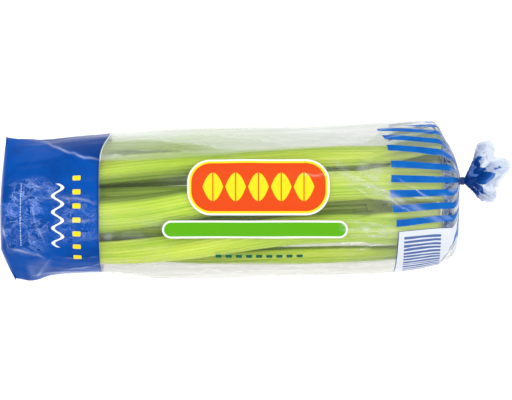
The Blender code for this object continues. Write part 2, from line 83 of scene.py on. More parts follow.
# The head of celery, as the part has it: half its width and height along it, and where its middle lies
HEAD_LENGTH = 374.0
HEAD_STATIONS = (0.0, 40.0, 90.0, 180.0, 300.0, 374.0)
HEAD_HALF_WIDTH = (32.0, 42.0, 48.0, 50.5, 51.0, 48.5)
HEAD_HALF_HEIGHT = (32.0, 37.5, 42.5, 45.0, 45.0, 43.5)
HEAD_Y = (-9.0, -6.0, -2.5, -0.5, 3.5, 5.5)
HEAD_Z = (41.0, 43.2, 45.0, 46.2, 46.2, 45.4)

# The outer stalks one by one: their angles round the head near the root and at the top, in degrees,
# their sizes, how far past the head's length each is cut, and how far it bows out of the head
OUTER_ANGLES = (96.0, 36.0, -24.0, -84.0, -144.0, 156.0)
OUTER_TOP_ANGLES = (69.0, 20.0, -40.0, -108.0, -177.0, 121.0)
OUTER_TURN_FROM, OUTER_TURN_TO = 80.0, 260.0
OUTER_SCALE = (1.0, 0.97, 0.95, 0.98, 0.96, 0.97)
OUTER_TRIM = (0.0, -1.5, 0.8, -0.7, 1.2, -2.0)
TRIM_FROM = 350.0
OUTER_BOW = (0.0, 4.0, 16.0, 0.0, 0.0, 1.0)
BOW_STATIONS = (16.0, 60.0, 115.0, 200.0, 300.0)
BOW_SHARE = (0.0, 0.55, 1.0, 0.45, 0.0)

# How far the tops of the outer stalks lean out from the head, from here to its end
OUTER_SPLAY = (0.0, 11.0, 6.0, 0.0, 0.0, 0.0)
SPLAY_FROM = 318.0

# How strong the painted shade of the valleys between the stalks is on each outer stalk's two flanks,
# on its clockwise side and the other, from which share of its half width to which on either side, and
# where along the stalk most of it fades
OUTER_SHADE = ((1.0, 0.45), (0.3, 0.95), (0.3, 0.3), (0.3, 0.3), (0.3, 0.3), (0.15, 0.2))
SHADE_CLOCKWISE, SHADE_OTHER = (0.5, 0.78), (0.62, 0.98)
SHADE_FROM, SHADE_TO, SHADE_LOST = 150.0, 250.0, 0.8

# An outer stalk's section along x: the radius of its bend, its thickness, the length of its arc
OUTER_SHAPE_AT = (0.0, 16.0, 40.0, 80.0, 130.0, 250.0, 310.0, 330.0, 374.0)
OUTER_BEND = (29.5, 29.5, 23.5, 15.8, 12.2, 11.4, 10.6, 9.6, 8.4)
OUTER_THICK = (6.8, 6.8, 6.8, 6.6, 6.4, 6.0, 5.8, 5.6, 5.4)
OUTER_ARC = (27.4, 27.4, 29.8, 33.0, 34.5, 32.5, 29.0, 20.5, 15.5)
OUTER_START = 16.4

# Any stalk's section: how much thinner its edges are, and its hollow side's arc, as shares
EDGE_THINNER = 0.42
HOLLOW_ARC = 0.985

# The small unevenness along an outer stalk: its height, and its wave's length over two pi
SWAY, SWAY_LENGTH = 0.25, 21.0

# How far apart the straightened stalks lie in the space of the fibres
SKIN_APART = 60.0

# A fork's two shoots along x: how far to the side and inwards they lie, and their radius. They are
# ridged, and cut a little shorter than their stalk.
FORK_STATIONS = (300.0, 316.0, 330.0, 350.0, 374.0)
FORK_SIDEWAYS = (8.2, 9.8, 11.2, 12.1, 12.7)
FORK_INWARDS = (8.8, 8.4, 8.0, 7.8, 8.2)
FORK_RADIUS = (3.0, 4.2, 4.2, 4.0, 3.8)
FORK_RIDGES, FORK_RIDGE_DEPTH = 6, 0.07
FORK_SHORTER = 1.0

# The ring of inner stalks: its half width and height along it, and a stalk's section as above
INNER_COUNT = 5
INNER_FIRST_ANGLE = 66.0
INNER_STATIONS = (16.0, 40.0, 90.0, 180.0, 300.0, 374.0)
INNER_HALF_WIDTH = (25.0, 26.5, 30.0, 32.4, 32.4, 30.5)
INNER_HALF_HEIGHT = (25.0, 25.0, 26.0, 27.0, 27.0, 26.0)
INNER_SHAPE_AT = (0.0, 16.0, 45.0, 90.0, 160.0, 374.0)
INNER_BEND = (22.0, 22.0, 15.0, 9.2, 7.6, 7.0)
INNER_THICK = (5.2, 5.2, 5.0, 4.8, 4.6, 4.2)
INNER_ARC = (22.5, 22.5, 22.5, 22.0, 21.5, 18.0)
INNER_TRIM = (0.0, -3.0, -1.0, -4.0, -2.0)
INNER_END = 372.0

# The film bag, as the part has it: x, two side edges, lowest, highest, side edges' height, squareness
BAG_SECTIONS = (
    (-3.9, -65.2, 60.5, 37.4, 38.2, 37.8, 3.0),
    (-2.8, -61.5, 59.4, 14.0, 65.0, 38.0, 1.35),
    (0.6, -62.0, 58.6, 3.0, 79.0, 37.0, 1.35),
    (8.0, -63.4, 57.6, 0.5, 82.6, 34.0, 1.45),
    (20.0, -62.4, 57.4, -1.0, 84.6, 31.0, 1.6),
    (38.0, -59.0, 58.6, -2.0, 87.0, 28.5, 1.9),
    (60.0, -56.8, 61.2, -2.0, 89.4, 27.0, 2.3),
    (82.0, -56.0, 62.9, -2.0, 91.4, 26.0, 2.5),
    (105.0, -58.5, 65.4, -2.0, 92.6, 25.5, 2.4),
    (135.0, -61.8, 67.6, -2.0, 93.2, 25.0, 2.25),
    (175.0, -61.0, 68.8, -2.0, 93.4, 25.0, 2.2),
    (220.0, -60.2, 69.9, -2.0, 93.4, 25.0, 2.2),
    (265.0, -59.3, 71.0, -2.0, 93.4, 25.5, 2.2),
    (310.0, -57.8, 72.6, -2.0, 93.4, 27.0, 2.2),
    (345.0, -54.2, 74.0, -2.0, 93.0, 31.0, 2.15),
    (366.0, -50.6, 74.6, -2.0, 92.0, 36.0, 2.1),
    (377.6, -47.6, 57.6, 0.0, 90.6, 41.0, 2.1),
    (383.0, -42.0, 47.5, 5.0, 85.0, 43.0, 2.0),
    (386.4, -34.6, 38.6, 14.5, 75.0, 44.5, 2.0),
    (388.0, -16.0, 33.0, 27.0, 62.5, 45.0, 2.0),
    (389.0, 10.0, 31.0, 35.5, 54.5, 45.0, 2.0),
)

# The squareness of the bag's lower side where it rests on the floor
FLOOR_POWER = 3.0

# The sealed end: how far its two corners stand back, the y between which it is straight, the corners'
# y, and the x at which the slant has gone
SEAM_CORNER_BACK = (4.4, 12.5)
SEAM_STRAIGHT = (-36.0, -10.0)
SEAM_CORNER_AT = (60.5, -63.6)
END_SLANT_FADE = 40.0

# The gathered neck, and the tail's half height along it beyond the neck
GATHERED_RADIUS = 2.6
NECK_LENGTH = 3.4
TAIL_REACH = (3.0, 8.0, 14.0, 21.0, 28.5, 36.0)
TAIL_HALF_HEIGHT = (6.2, 9.0, 12.0, 15.0, 17.5, 19.0)

# The tail seen from above: the fan's middle direction and half opening, and the lip's distance
# from the neck in each direction, in degrees and millimetres
TAIL_MIDDLE, TAIL_OPENING = 11.0, 56.0
LIP_TOWARDS = (-46.0, -38.0, -26.0, -12.0, 2.0, 10.0, 18.0, 27.0, 37.0, 46.0, 54.0, 61.0, 68.0)
LIP_REACH = (25.0, 31.0, 31.5, 30.0, 32.5, 40.0, 44.0, 43.0, 36.0, 42.0, 44.0, 40.0, 36.0)

# The tail's folds: their number, how deep they go in as a share, and how far they lap over
TAIL_FOLDS = 6
FOLD_DEPTH = 0.34
FOLD_LAP = 2.3

# The tie wound round the neck: its turns, their radius and the thickness of its thread
TIE_TURNS = 4
TIE_RADIUS = 3.1
TIE_THREAD = 0.42
TIE_FROM, TIE_TO = 0.5, 2.9

# The height above which the photograph's pixels are looked for on the bag
PRINT_SEEN_ABOVE = 40.0

# The print's own measures: the y of its middle line, where the bag grows narrower and where its
# gathers start, its girth, and the share of the girth that lies straight on either side up to there
CREST_Y = 3.0
SHRINK_FROM = 366.0
GATHER_FROM = 381.0
GIRTH = 366.0
KEPT_SHARE = 0.25

# Where the film leaves the celery on either side and where it is folded in beside the sealed end,
# as pixels of the photograph
UPPER_CONTACT = (
    (98, 161), (140, 160), (210, 156), (260, 152), (330, 147), (366, 144), (384, 131), (450, 124),
)
GUSSET_FOLD = ((3, 136.5), (20, 138.5), (38, 141), (60, 148), (98, 160), (112, 163))
LOWER_CONTACT = ((98, 262), (150, 264), (250, 262), (330, 263), (395, 258), (450, 250))


def smooth_through(xs, ys, x):
    """Heights at x of the smooth curve through the points (xs, ys), with no overshoot."""
    xs, ys = np.asarray(xs, float), np.asarray(ys, float)
    rise = np.diff(ys) / np.diff(xs)
    same_way = rise[:-1] * rise[1:] > 0
    total = np.where(same_way, rise[:-1] + rise[1:], 1.0)
    inner = np.where(same_way, 2 * rise[:-1] * rise[1:] / total, 0.0)
    slopes = np.concatenate([rise[:1], inner, rise[-1:]])
    x = np.clip(x, xs[0], xs[-1])
    i = np.clip(np.searchsorted(xs, x, side="right") - 1, 0, len(xs) - 2)
    step = xs[i + 1] - xs[i]
    t = (x - xs[i]) / step
    return (
        (2 * t**3 - 3 * t**2 + 1) * ys[i]
        + (t**3 - 2 * t**2 + t) * step * slopes[i]
        + (3 * t**2 - 2 * t**3) * ys[i + 1]
        + (t**3 - t**2) * step * slopes[i + 1]
    )


def fade(x, start, end):
    """0 before start and 1 after end, with a smooth rise between. Works on numbers and arrays."""
    t = np.clip((np.asarray(x, float) - start) / (end - start), 0.0, 1.0)
    return t * t * (3 - 2 * t)


def between(x, start, full, waning, end):
    """1 from full to waning, 0 before start and after end, with smooth changes between."""
    return fade(x, start, full) * (1 - fade(x, waning, end))


def pixel_place(column, row):
    """The table x and y that the photograph's pixel shows."""
    return (column - PIXEL_X) * PIXEL, (PIXEL_Y - row) * PIXEL


def seen_from_above(points):
    """The table x and y at which the photograph's camera shows table points."""
    distance = PICTURE_WIDTH * PIXEL * LENS / SENSOR
    growth = distance / (distance - (points[..., 2:] - FOCUS_HEIGHT))
    centre = np.array(pixel_place(*PICTURE_MIDDLE))
    return centre + (points[..., :2] - centre) * growth


def framed(points):
    """Table points in millimetres as frame points in metres."""
    return np.asarray(points, float) * MM + np.array(ORIGIN)


def lattice_noise(u, v, around, seed):
    """Smooth noise from -1 to 1 with one cell a unit, repeating after `around` cells along v."""
    table = np.random.default_rng(seed).uniform(-1, 1, (512, around))
    iu, iv = np.floor(u).astype(int), np.floor(v).astype(int)
    fu, fv = u - iu, v - iv
    fu, fv = fu * fu * (3 - 2 * fu), fv * fv * (3 - 2 * fv)
    a = table[iu % 512, iv % around]
    b = table[(iu + 1) % 512, iv % around]
    c = table[iu % 512, (iv + 1) % around]
    d = table[(iu + 1) % 512, (iv + 1) % around]
    return (a * (1 - fu) + b * fu) * (1 - fv) + (c * (1 - fu) + d * fu) * fv


def finish_piece(made, *nodes, slot):
    """Ties a finished piece to the frame: it rides on the root and stands for these CAD nodes."""
    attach(made, "root")
    if nodes:
        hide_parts(*nodes)
    return made


def piece_from(name, points, faces):
    """A smooth-shaded object from table points and faces."""
    mesh = bpy.data.meshes.new(name)
    mesh.from_pydata(framed(points).tolist(), [], faces)
    mesh.calc_loop_triangles()
    corners = np.array([v.co for v in mesh.vertices])
    corners -= corners.mean(0)
    triangles = corners[np.array([t.vertices for t in mesh.loop_triangles])]
    if np.linalg.det(triangles).sum() < 0:
        mesh.flip_normals()
    mesh.shade_smooth()
    made = bpy.data.objects.new(name, mesh)
    bpy.context.scene.collection.objects.link(made)
    return made


def lofted(rings):
    """Points and faces of a closed solid through rings of equal length, capped at both ends."""
    count = len(rings[0])
    points = [tuple(p) for ring in rings for p in ring]
    faces = []
    for i in range(len(rings) - 1):
        for j in range(count):
            k = (j + 1) % count
            faces.append((i * count + j, (i + 1) * count + j, (i + 1) * count + k, i * count + k))
    faces.append(tuple(range(count)))
    faces.append(tuple(reversed(range((len(rings) - 1) * count, len(rings) * count))))
    return points, faces


# Celery

def head_envelope(x):
    """Half width and half height of the head of celery at x."""
    return (
        smooth_through(HEAD_STATIONS, HEAD_HALF_WIDTH, x),
        smooth_through(HEAD_STATIONS, HEAD_HALF_HEIGHT, x),
    )


def inner_envelope(x):
    """Half width and half height of the ring of inner stalks at x."""
    return (
        smooth_through(INNER_STATIONS, INNER_HALF_WIDTH, x),
        smooth_through(INNER_STATIONS, INNER_HALF_HEIGHT, x),
    )


def stalk_outline(bend, thick, arc, ribs, rib_height, steps_per_rib):
    """A stalk's section as (outwards, sideways) rows: ribbed outer arc, round edges, plain hollow."""
    spread = 0.5 * arc / bend
    crest = bend + thick / 2 + rib_height / 2
    share = np.linspace(-1, 1, ribs * steps_per_rib + 1)
    thinned = thick * (1 - EDGE_THINNER * share**4)
    wave = np.abs(np.cos(math.pi * ribs * (share + 1) / 2)) ** 0.7
    radius = bend + thinned / 2 + rib_height * (wave - 0.5)
    angle = share * spread
    outer = np.stack([radius * np.cos(angle) - crest, radius * np.sin(angle)], 1)
    share = np.linspace(1, -1, 25)
    thinned = thick * (1 - EDGE_THINNER * share**4)
    angle = share * spread * HOLLOW_ARC
    radius = bend - thinned / 2
    inner = np.stack([radius * np.cos(angle) - crest, radius * np.sin(angle)], 1)
    edges = []
    for side, near, far in ((1, outer[-1], inner[0]), (-1, inner[-1], outer[0])):
        middle = (near + far) / 2
        tangent = np.array([-math.sin(spread), side * math.cos(spread)])
        half = (near - far) / 2
        turns = np.radians((36, 72, 108, 144))
        reach = np.hypot(*half) * 0.8
        edges.append([middle + half * math.cos(t) + tangent * reach * math.sin(t) for t in turns])
    return np.concatenate([outer, edges[0], inner, edges[1]])


def placed(outline, x, angle, half_width, half_height, bow=0.0):
    """The section's points in the head, with its outermost point bow beyond the ellipse at angle."""
    turn = math.radians(angle)
    rim_y = smooth_through(HEAD_STATIONS, HEAD_Y, x) + half_width * math.cos(turn)
    rim_z = smooth_through(HEAD_STATIONS, HEAD_Z, x) + half_height * math.sin(turn)
    out = np.array([math.cos(turn) / half_width, math.sin(turn) / half_height])
    out /= np.hypot(*out)
    y = rim_y + (outline[:, 0] + bow) * out[0] - outline[:, 1] * out[1]
    z = rim_z + (outline[:, 0] + bow) * out[1] + outline[:, 1] * out[0]
    return np.stack([np.full(len(y), float(x)), y, z], 1)


def outer_section(number, x, ribs, rib_height, steps_per_rib):
    """An outer stalk's section at x, its angle round the head, and how far it stands out."""
    share = fade(x, OUTER_TURN_FROM, OUTER_TURN_TO)
    angle = OUTER_ANGLES[number] + (OUTER_TOP_ANGLES[number] - OUTER_ANGLES[number]) * share
    scale = OUTER_SCALE[number]
    outline = stalk_outline(
        smooth_through(OUTER_SHAPE_AT, OUTER_BEND, x) * scale,
        smooth_through(OUTER_SHAPE_AT, OUTER_THICK, x),
        smooth_through(OUTER_SHAPE_AT, OUTER_ARC, x) * scale,
        ribs,
        rib_height,
        steps_per_rib,
    )
    bow = OUTER_BOW[number] * smooth_through(BOW_STATIONS, BOW_SHARE, x)
    bow += OUTER_SPLAY[number] * fade(x, SPLAY_FROM, HEAD_LENGTH)
    return outline, angle, bow


def stalk_stations(start, end, step):
    """Evenly spaced x from start to end, about a step apart."""
    return np.linspace(start, end, int((end - start) / step) + 1)


def fork_shoot(name, number, hand, end):
    """One side shoot of a stalk's fork, ridged, cut off level with its stalk."""
    rings = []
    for x in stalk_stations(FORK_STATIONS[0], FORK_STATIONS[-1], 4.0):
        _, angle, bow = outer_section(number, x, 1, 0.0, 8)
        radius = smooth_through(FORK_STATIONS, FORK_RADIUS, x)
        sideways = hand * smooth_through(FORK_STATIONS, FORK_SIDEWAYS, x)
        inwards = smooth_through(FORK_STATIONS, FORK_INWARDS, x)
        around = np.linspace(0, 2 * math.pi, 30, endpoint=False)
        ridged = radius * (1 - FORK_RIDGE_DEPTH * (1 - np.cos(FORK_RIDGES * around)) / 2)
        outline = np.stack([ridged * np.cos(around) - inwards, sideways + ridged * np.sin(around)], 1)
        at = x + (end - HEAD_LENGTH) * fade(x, TRIM_FROM, HEAD_LENGTH)
        ring = placed(outline, x, angle, *head_envelope(x), bow)
        ring[:, 0] = at
        rings.append(ring)
    return piece_from(name, *lofted(rings))


def fused(body, extras):
    """body with the extras fused to it by one union, which is applied."""
    group = bpy.data.collections.new(body.name + "_extras")
    bpy.context.scene.collection.children.link(group)
    for extra in extras:
        bpy.context.scene.collection.objects.unlink(extra)
        group.objects.link(extra)
    union = body.modifiers.new("union", "BOOLEAN")
    union.operation = "UNION"
    union.operand_type = "COLLECTION"
    union.collection = group
    union.solver = "EXACT"
    bpy.context.view_layer.update()
    graph = bpy.context.evaluated_depsgraph_get()
    whole = bpy.data.meshes.new_from_object(body.evaluated_get(graph))
    body.modifiers.clear()
    body.data = whole
    for extra in extras:
        bpy.data.objects.remove(extra)
    bpy.data.collections.remove(group)
    return body


def skin_places(points, number):
    """Table points as places on a straightened stalk: along it, sideways and outwards, in metres."""
    x = points[:, 0]
    turned = (OUTER_TOP_ANGLES[number] - OUTER_ANGLES[number]) * fade(x, OUTER_TURN_FROM, OUTER_TURN_TO)
    turn = np.radians(OUTER_ANGLES[number] + turned)
    half_width, half_height = head_envelope(x)
    out_y, out_z = np.cos(turn) / half_width, np.sin(turn) / half_height
    length = np.hypot(out_y, out_z)
    out_y, out_z = out_y / length, out_z / length
    y = points[:, 1] - smooth_through(HEAD_STATIONS, HEAD_Y, x) - half_width * np.cos(turn)
    z = points[:, 2] - smooth_through(HEAD_STATIONS, HEAD_Z, x) - half_height * np.sin(turn)
    sideways = z * out_y - y * out_z
    outwards = y * out_y + z * out_z
    return np.stack([x, sideways + SKIN_APART * number, outwards], 1) * MM


def add_skin(made, number):
    """Stores each point's place on the straightened stalk and its painted flank shade, for its finish.
    """
    points = np.array([v.co for v in made.data.vertices])
    places = skin_places((points - np.array(ORIGIN)) / MM, number)
    skin = made.data.attributes.new("skin", "FLOAT_VECTOR", "POINT")
    skin.data.foreach_set("vector", places.ravel())
    x, sideways = places[:, 0] / MM, places[:, 1] / MM - SKIN_APART * number
    bend = smooth_through(OUTER_SHAPE_AT, OUTER_BEND, x) * OUTER_SCALE[number]
    spread = smooth_through(OUTER_SHAPE_AT, OUTER_ARC, x) * OUTER_SCALE[number] / 2 / bend
    thick = smooth_through(OUTER_SHAPE_AT, OUTER_THICK, x)
    flank = sideways / ((bend + thick / 2) * np.sin(np.minimum(spread, math.pi / 2)))
    before, after = OUTER_SHADE[number]
    shade = np.maximum(before * fade(-flank, *SHADE_CLOCKWISE), after * fade(flank, *SHADE_OTHER))
    shade *= 1 - SHADE_LOST * fade(x, SHADE_FROM, SHADE_TO)
    made.data.attributes.new("shade", "FLOAT", "POINT").data.foreach_set("value", shade)


def outer_stalk(number, shape):
    """One outer stalk with its two shoots, gently uneven along its length."""
    trim = OUTER_TRIM[number]
    rings = []
    for x in stalk_stations(OUTER_START, HEAD_LENGTH, shape.station_step):
        outline, angle, bow = outer_section(number, x, shape.outer_ribs, shape.rib_height, 6)
        sway = SWAY * math.sin(x / SWAY_LENGTH + 2.1 * number) * float(fade(x, 30.0, 80.0))
        ring = placed(outline, x, angle, *head_envelope(x), bow + sway - SWAY)
        ring[:, 0] += trim * fade(x, TRIM_FROM, HEAD_LENGTH)
        rings.append(ring)
    name = f"celery_outer_{number + 1}"
    body = piece_from(name, *lofted(rings))
    ends = {hand: HEAD_LENGTH + trim + 0.4 * hand - FORK_SHORTER for hand in (-1, 1)}
    shoots = [fork_shoot(f"{name}_shoot_{hand}", number, hand, ends[hand]) for hand in (-1, 1)]
    whole = fused(body, shoots)
    add_skin(whole, number)
    return whole


def even_angles(count, start, half_width, half_height):
    """Angles that put count points at equal steps along an ellipse, from start degrees on."""
    fine = np.radians(start + np.linspace(0, 360, 721))
    steps = np.hypot(half_width * np.sin(fine), half_height * np.cos(fine))
    travelled = np.concatenate([[0], np.cumsum(steps[1:])])
    return np.degrees(np.interp(travelled[-1] * np.arange(count) / count, travelled, fine))


def inner_stalk(number, shape):
    """One inner stalk, from an even circle near the root to even steps round the oval."""
    round_angle = INNER_FIRST_ANGLE + 360 * number / INNER_COUNT
    radii = [r - 10.0 for r in inner_envelope(200.0)]
    oval_angle = even_angles(INNER_COUNT, INNER_FIRST_ANGLE, *radii)[number]
    rings = []
    for x in stalk_stations(OUTER_START, INNER_END + INNER_TRIM[number], 2 * shape.station_step):
        angle = round_angle + (oval_angle - round_angle) * fade(x, 16.0, 110.0)
        outline = stalk_outline(
            smooth_through(INNER_SHAPE_AT, INNER_BEND, x),
            smooth_through(INNER_SHAPE_AT, INNER_THICK, x),
            smooth_through(INNER_SHAPE_AT, INNER_ARC, x),
            shape.inner_ribs,
            shape.rib_height,
            6,
        )
        rings.append(placed(outline, x, angle, *inner_envelope(x), -0.2))
    return piece_from(f"celery_inner_{number + 1}", *lofted(rings))


# The film bag

def seam_slant(x, y):
    """How far a point of the bag near its sealed end stands back, so that the seam slants."""
    low, high = SEAM_STRAIGHT
    above = np.clip((y - high) / (SEAM_CORNER_AT[0] - high), 0, None)
    below = np.clip((low - y) / (low - SEAM_CORNER_AT[1]), 0, None)
    back = SEAM_CORNER_BACK[0] * above**2 + SEAM_CORNER_BACK[1] * below**1.1
    return back * (1 - fade(x, 0.0, END_SLANT_FADE))


def evened(ring, count, crest, flat_girth=None):
    """The closed ring as count points from its top where y is crest, and its girth.

    The points are equally spaced, or with a flat_girth lie as they do on a ring of that girth as
    far as KEPT_SHARE on either side, and closer beyond."""
    closed = np.concatenate([ring, ring[:1]])
    travelled = np.concatenate([[0], np.cumsum(np.linalg.norm(np.diff(closed, axis=0), axis=1))])
    girth = travelled[-1]
    half = len(ring) // 2
    start = np.interp(-crest, -ring[:half, 1], travelled[:half])
    share = np.arange(count) / count
    share = np.where(share > 0.5, share - 1, share)
    wide = girth if flat_girth is None else flat_girth
    kept = KEPT_SHARE * wide
    beyond = (np.abs(share) - KEPT_SHARE) / (0.5 - KEPT_SHARE)
    away = np.where(beyond > 0, kept + beyond * (girth / 2 - kept), np.abs(share) * wide)
    wanted = (start + np.sign(share) * away) % girth
    return np.stack([np.interp(wanted, travelled, closed[:, axis]) for axis in range(3)], 1), girth


def angles_about_neck(ring):
    """Each point's angle round the neck's middle line, growing from the first point on."""
    return np.unwrap(np.arctan2(ring[:, 2] - NECK[2], ring[:, 1] - NECK[1]))


def at_angles(ring, angles):
    """The points of a closed ring at these angles round the neck's middle line."""
    own = angles_about_neck(ring)
    turns = np.concatenate([own - 2 * math.pi, own, own + 2 * math.pi])
    tripled = np.concatenate([ring, ring, ring])
    return np.stack([np.interp(angles, turns, tripled[:, axis]) for axis in range(3)], 1)


def bag_body(step, count):
    """The smooth bag from its sealed end to its neck, as rings, and each ring's own x.

    The rings' points run along the bag as far as the gathers, and towards the neck from there."""
    rows = np.array(BAG_SECTIONS)
    move = np.abs(np.diff(rows, axis=0))
    travel = move[:, 0] ** 2 + np.maximum(move[:, 1], move[:, 2]) ** 2 + move[:, 3:5].max(1) ** 2
    travelled = np.concatenate([[0], np.cumsum(np.sqrt(travel))])
    wanted = np.linspace(0, travelled[-1], int(travelled[-1] / step) + 1)
    columns = [smooth_through(travelled, rows[:, i], wanted) for i in range(rows.shape[1])]
    around = np.linspace(0, 2 * math.pi, 720, endpoint=False)
    c, s = np.cos(around), np.sin(around)
    rings, angles = [], None
    for x, y_low, y_high, z_low, z_high, z_edge, power in zip(*columns):
        flat = float(fade(-z_low, -1.0, 1.0))
        lower = power + flat * max(min(FLOOR_POWER, 1.4 * power) - power, 0.0)
        used = np.where(s >= 0, power, lower)
        height = np.where(s >= 0, z_high - z_edge, z_edge - z_low)
        y = (y_low + y_high) / 2 + (y_high - y_low) / 2 * np.sign(c) * np.abs(c) ** (2 / used)
        z = np.maximum(z_edge + height * np.sign(s) * np.abs(s) ** (2 / used), 0.0)
        ring = np.stack([x + seam_slant(x, y), y, z], 1)
        if x <= SHRINK_FROM:
            ring, girth = evened(ring, count, CREST_Y)
        elif x <= GATHER_FROM:
            ring, _ = evened(ring, count, CREST_Y, girth)
            angles = angles_about_neck(ring)
        else:
            ring = at_angles(ring, angles)
        rings.append(ring)
    return np.array(rings), columns[0], angles


def bag_tail(step, angles):
    """The neck and the folded, fan-shaped tail beyond it, and each ring's reach from the neck."""
    total = NECK_LENGTH + TAIL_REACH[-1]
    reaches = np.linspace(0, total, int(total / step) + 1)
    stations = (0.0, NECK_LENGTH) + tuple(NECK_LENGTH + r for r in TAIL_REACH)
    heights = smooth_through(stations, (GATHERED_RADIUS, GATHERED_RADIUS) + TAIL_HALF_HEIGHT, reaches)
    share = (angles - angles[0]) / (2 * math.pi)
    wander = 1.6 * lattice_noise(share * 0, share * 5, 5, 21)
    rings = []
    for reach, half_height in zip(reaches, heights):
        lap = FOLD_LAP * float(fade(reach, 0.0, NECK_LENGTH + 11.0))
        phase = TAIL_FOLDS * angles + wander + 0.02 * reach
        turned = angles + lap * np.sin(phase) / TAIL_FOLDS
        c, s = np.cos(turned), np.sin(turned)
        inside = 1 - FOLD_DEPTH * (0.5 - 0.5 * np.cos(phase)) * min(lap, 1.0)
        beyond = max(reach - NECK_LENGTH, 0.0) / TAIL_REACH[-1]
        towards = TAIL_MIDDLE + TAIL_OPENING * c
        length = beyond * smooth_through(LIP_TOWARDS, LIP_REACH, towards)
        length *= 1 - 0.12 * beyond * (1 - inside) / FOLD_DEPTH
        x = NECK[0] + min(reach, NECK_LENGTH) + length * np.cos(np.radians(towards))
        y = NECK[1] + length * np.sin(np.radians(towards)) + GATHERED_RADIUS * (1 - beyond) * c * inside
        rings.append(np.stack([x, y, NECK[2] + half_height * s * inside], 1))
    return np.array(rings), reaches


def joined_rings(first, second, extra):
    """Rings that lead from the last ring of first to the first ring of second."""
    shares = np.arange(1, extra + 1) / (extra + 1)
    return np.array([first[-1] * (1 - t) + second[0] * t for t in shares])


def grid_normals(grid):
    """Outward unit normals of rings of points."""
    around = np.roll(grid, -1, axis=1) - np.roll(grid, 1, axis=1)
    along = np.gradient(grid, axis=0)
    normals = np.cross(along, around)
    lengths = np.linalg.norm(normals, axis=2, keepdims=True)
    normals = normals / np.maximum(lengths, 1e-9)
    centres = grid.mean(axis=1, keepdims=True)
    outwards = ((grid - centres) * normals).sum()
    return normals if outwards > 0 else -normals


# The height above which a point of the bag is on its upper face
UPPER_FACE = 30.0

# Creases that show in the photograph: two end pixels, height and half width in millimetres, whiteness.
# The whiteness is partly the film's whitening along a crease and partly a painted highlight, and some
# broad, low creases lay painted light over the dark valleys between the stalks.
CREASES = (
    ((5, 137), (40, 142), 1.5, 2.4, 0.35),
    ((40, 142), (99, 161), 1.7, 2.2, 0.5),
    ((28, 271), (50, 262), 0.2, 16.0, 0.22),
    ((8, 247), (52, 258), 1.6, 2.2, 0.45),
    ((52, 258), (30, 279), 1.5, 2.2, 0.35),
    ((44, 263), (36, 276), 0.8, 4.0, 0.35),
    ((4, 216), (7, 247), 0.8, 1.8, 0.6),
    ((26, 196), (46, 246), 0.8, 1.6, 0.3),
    ((16, 214), (34, 240), 0.7, 1.6, 0.3),
    ((24, 180), (50, 190), 0.7, 1.4, 0.3),
    ((30, 202), (60, 196), 0.6, 1.8, 0.2),
    ((56, 196), (96, 204), 0.5, 3.0, 0.2),
    ((58, 224), (96, 218), 0.6, 3.4, 0.25),
    ((54, 258), (98, 256), 0.5, 1.6, 0.25),
    ((60, 269), (102, 265), 0.5, 1.2, 0.5),
    ((100, 263), (150, 257), 0.9, 1.3, 0.75),
    ((112, 236), (150, 230), 0.5, 1.2, 0.3),
    ((92, 236), (156, 237), 0.1, 9.0, 0.4),
    ((146, 262), (166, 236), 0.7, 0.9, 0.5),
    ((152, 268), (178, 238), 0.6, 0.9, 0.4),
    ((330, 164), (392, 171), 0.1, 16.0, 0.4),
    ((334, 168), (404, 206), 0.2, 12.0, 0.5),
    ((330, 160), (392, 184), 0.2, 8.0, 0.4),
    ((332, 170), (386, 192), 0.4, 2.4, 0.6),
    ((338, 166), (402, 202), 0.5, 2.2, 0.7),
    ((344, 178), (396, 196), 0.5, 1.8, 0.8),
    ((340, 184), (378, 196), 0.3, 2.2, 0.5),
    ((372, 184), (446, 226), 0.3, 7.0, 0.4),
    ((342, 226), (404, 234), 0.2, 9.0, 0.5),
    ((340, 220), (396, 226), 0.3, 2.4, 0.55),
    ((342, 229), (400, 231), 0.4, 2.6, 0.7),
    ((350, 234), (404, 238), 0.3, 3.0, 0.65),
    ((336, 172), (372, 190), 0.6, 3.0, 0.45),
    ((300, 176), (340, 172), 0.5, 2.0, 0.3),
    ((364, 188), (440, 224), 0.8, 1.5, 0.8),
    ((370, 180), (400, 205), 0.6, 1.6, 0.55),
    ((340, 236), (398, 232), 0.8, 1.4, 0.8),
    ((340, 226), (360, 216), 0.5, 1.6, 0.4),
    ((352, 234), (346, 262), 0.6, 1.0, 0.35),
    ((334, 252), (372, 236), 0.6, 1.0, 0.4),
    ((346, 256), (396, 238), 0.6, 1.2, 0.8),
    ((322, 246), (350, 252), 0.5, 1.2, 0.3),
    ((388, 201), (446, 197), 0.8, 1.2, 0.8),
    ((398, 181), (436, 199), 0.6, 1.4, 0.7),
    ((400, 229), (452, 223), 0.7, 1.1, 0.6),
    ((410, 172), (446, 176), 0.5, 1.3, 0.3),
    ((372, 130), (436, 126), 0.8, 1.2, 0.5),
    ((376, 141), (440, 128), 0.6, 1.2, 0.4),
    ((100, 158), (150, 154), 0.7, 2.0, 0.5),
    ((112, 149), (200, 154), 0.6, 1.8, 0.3),
    ((150, 141), (236, 150), 0.7, 2.0, 0.3),
    ((176, 133), (300, 145), 0.6, 2.4, 0.25),
    ((260, 136), (384, 141), 0.6, 2.0, 0.25),
    ((210, 270), (330, 266), 0.6, 2.0, 0.25),
    ((150, 272), (262, 268), 0.6, 2.2, 0.25),
    ((320, 272), (392, 262), 0.6, 1.6, 0.35),
)


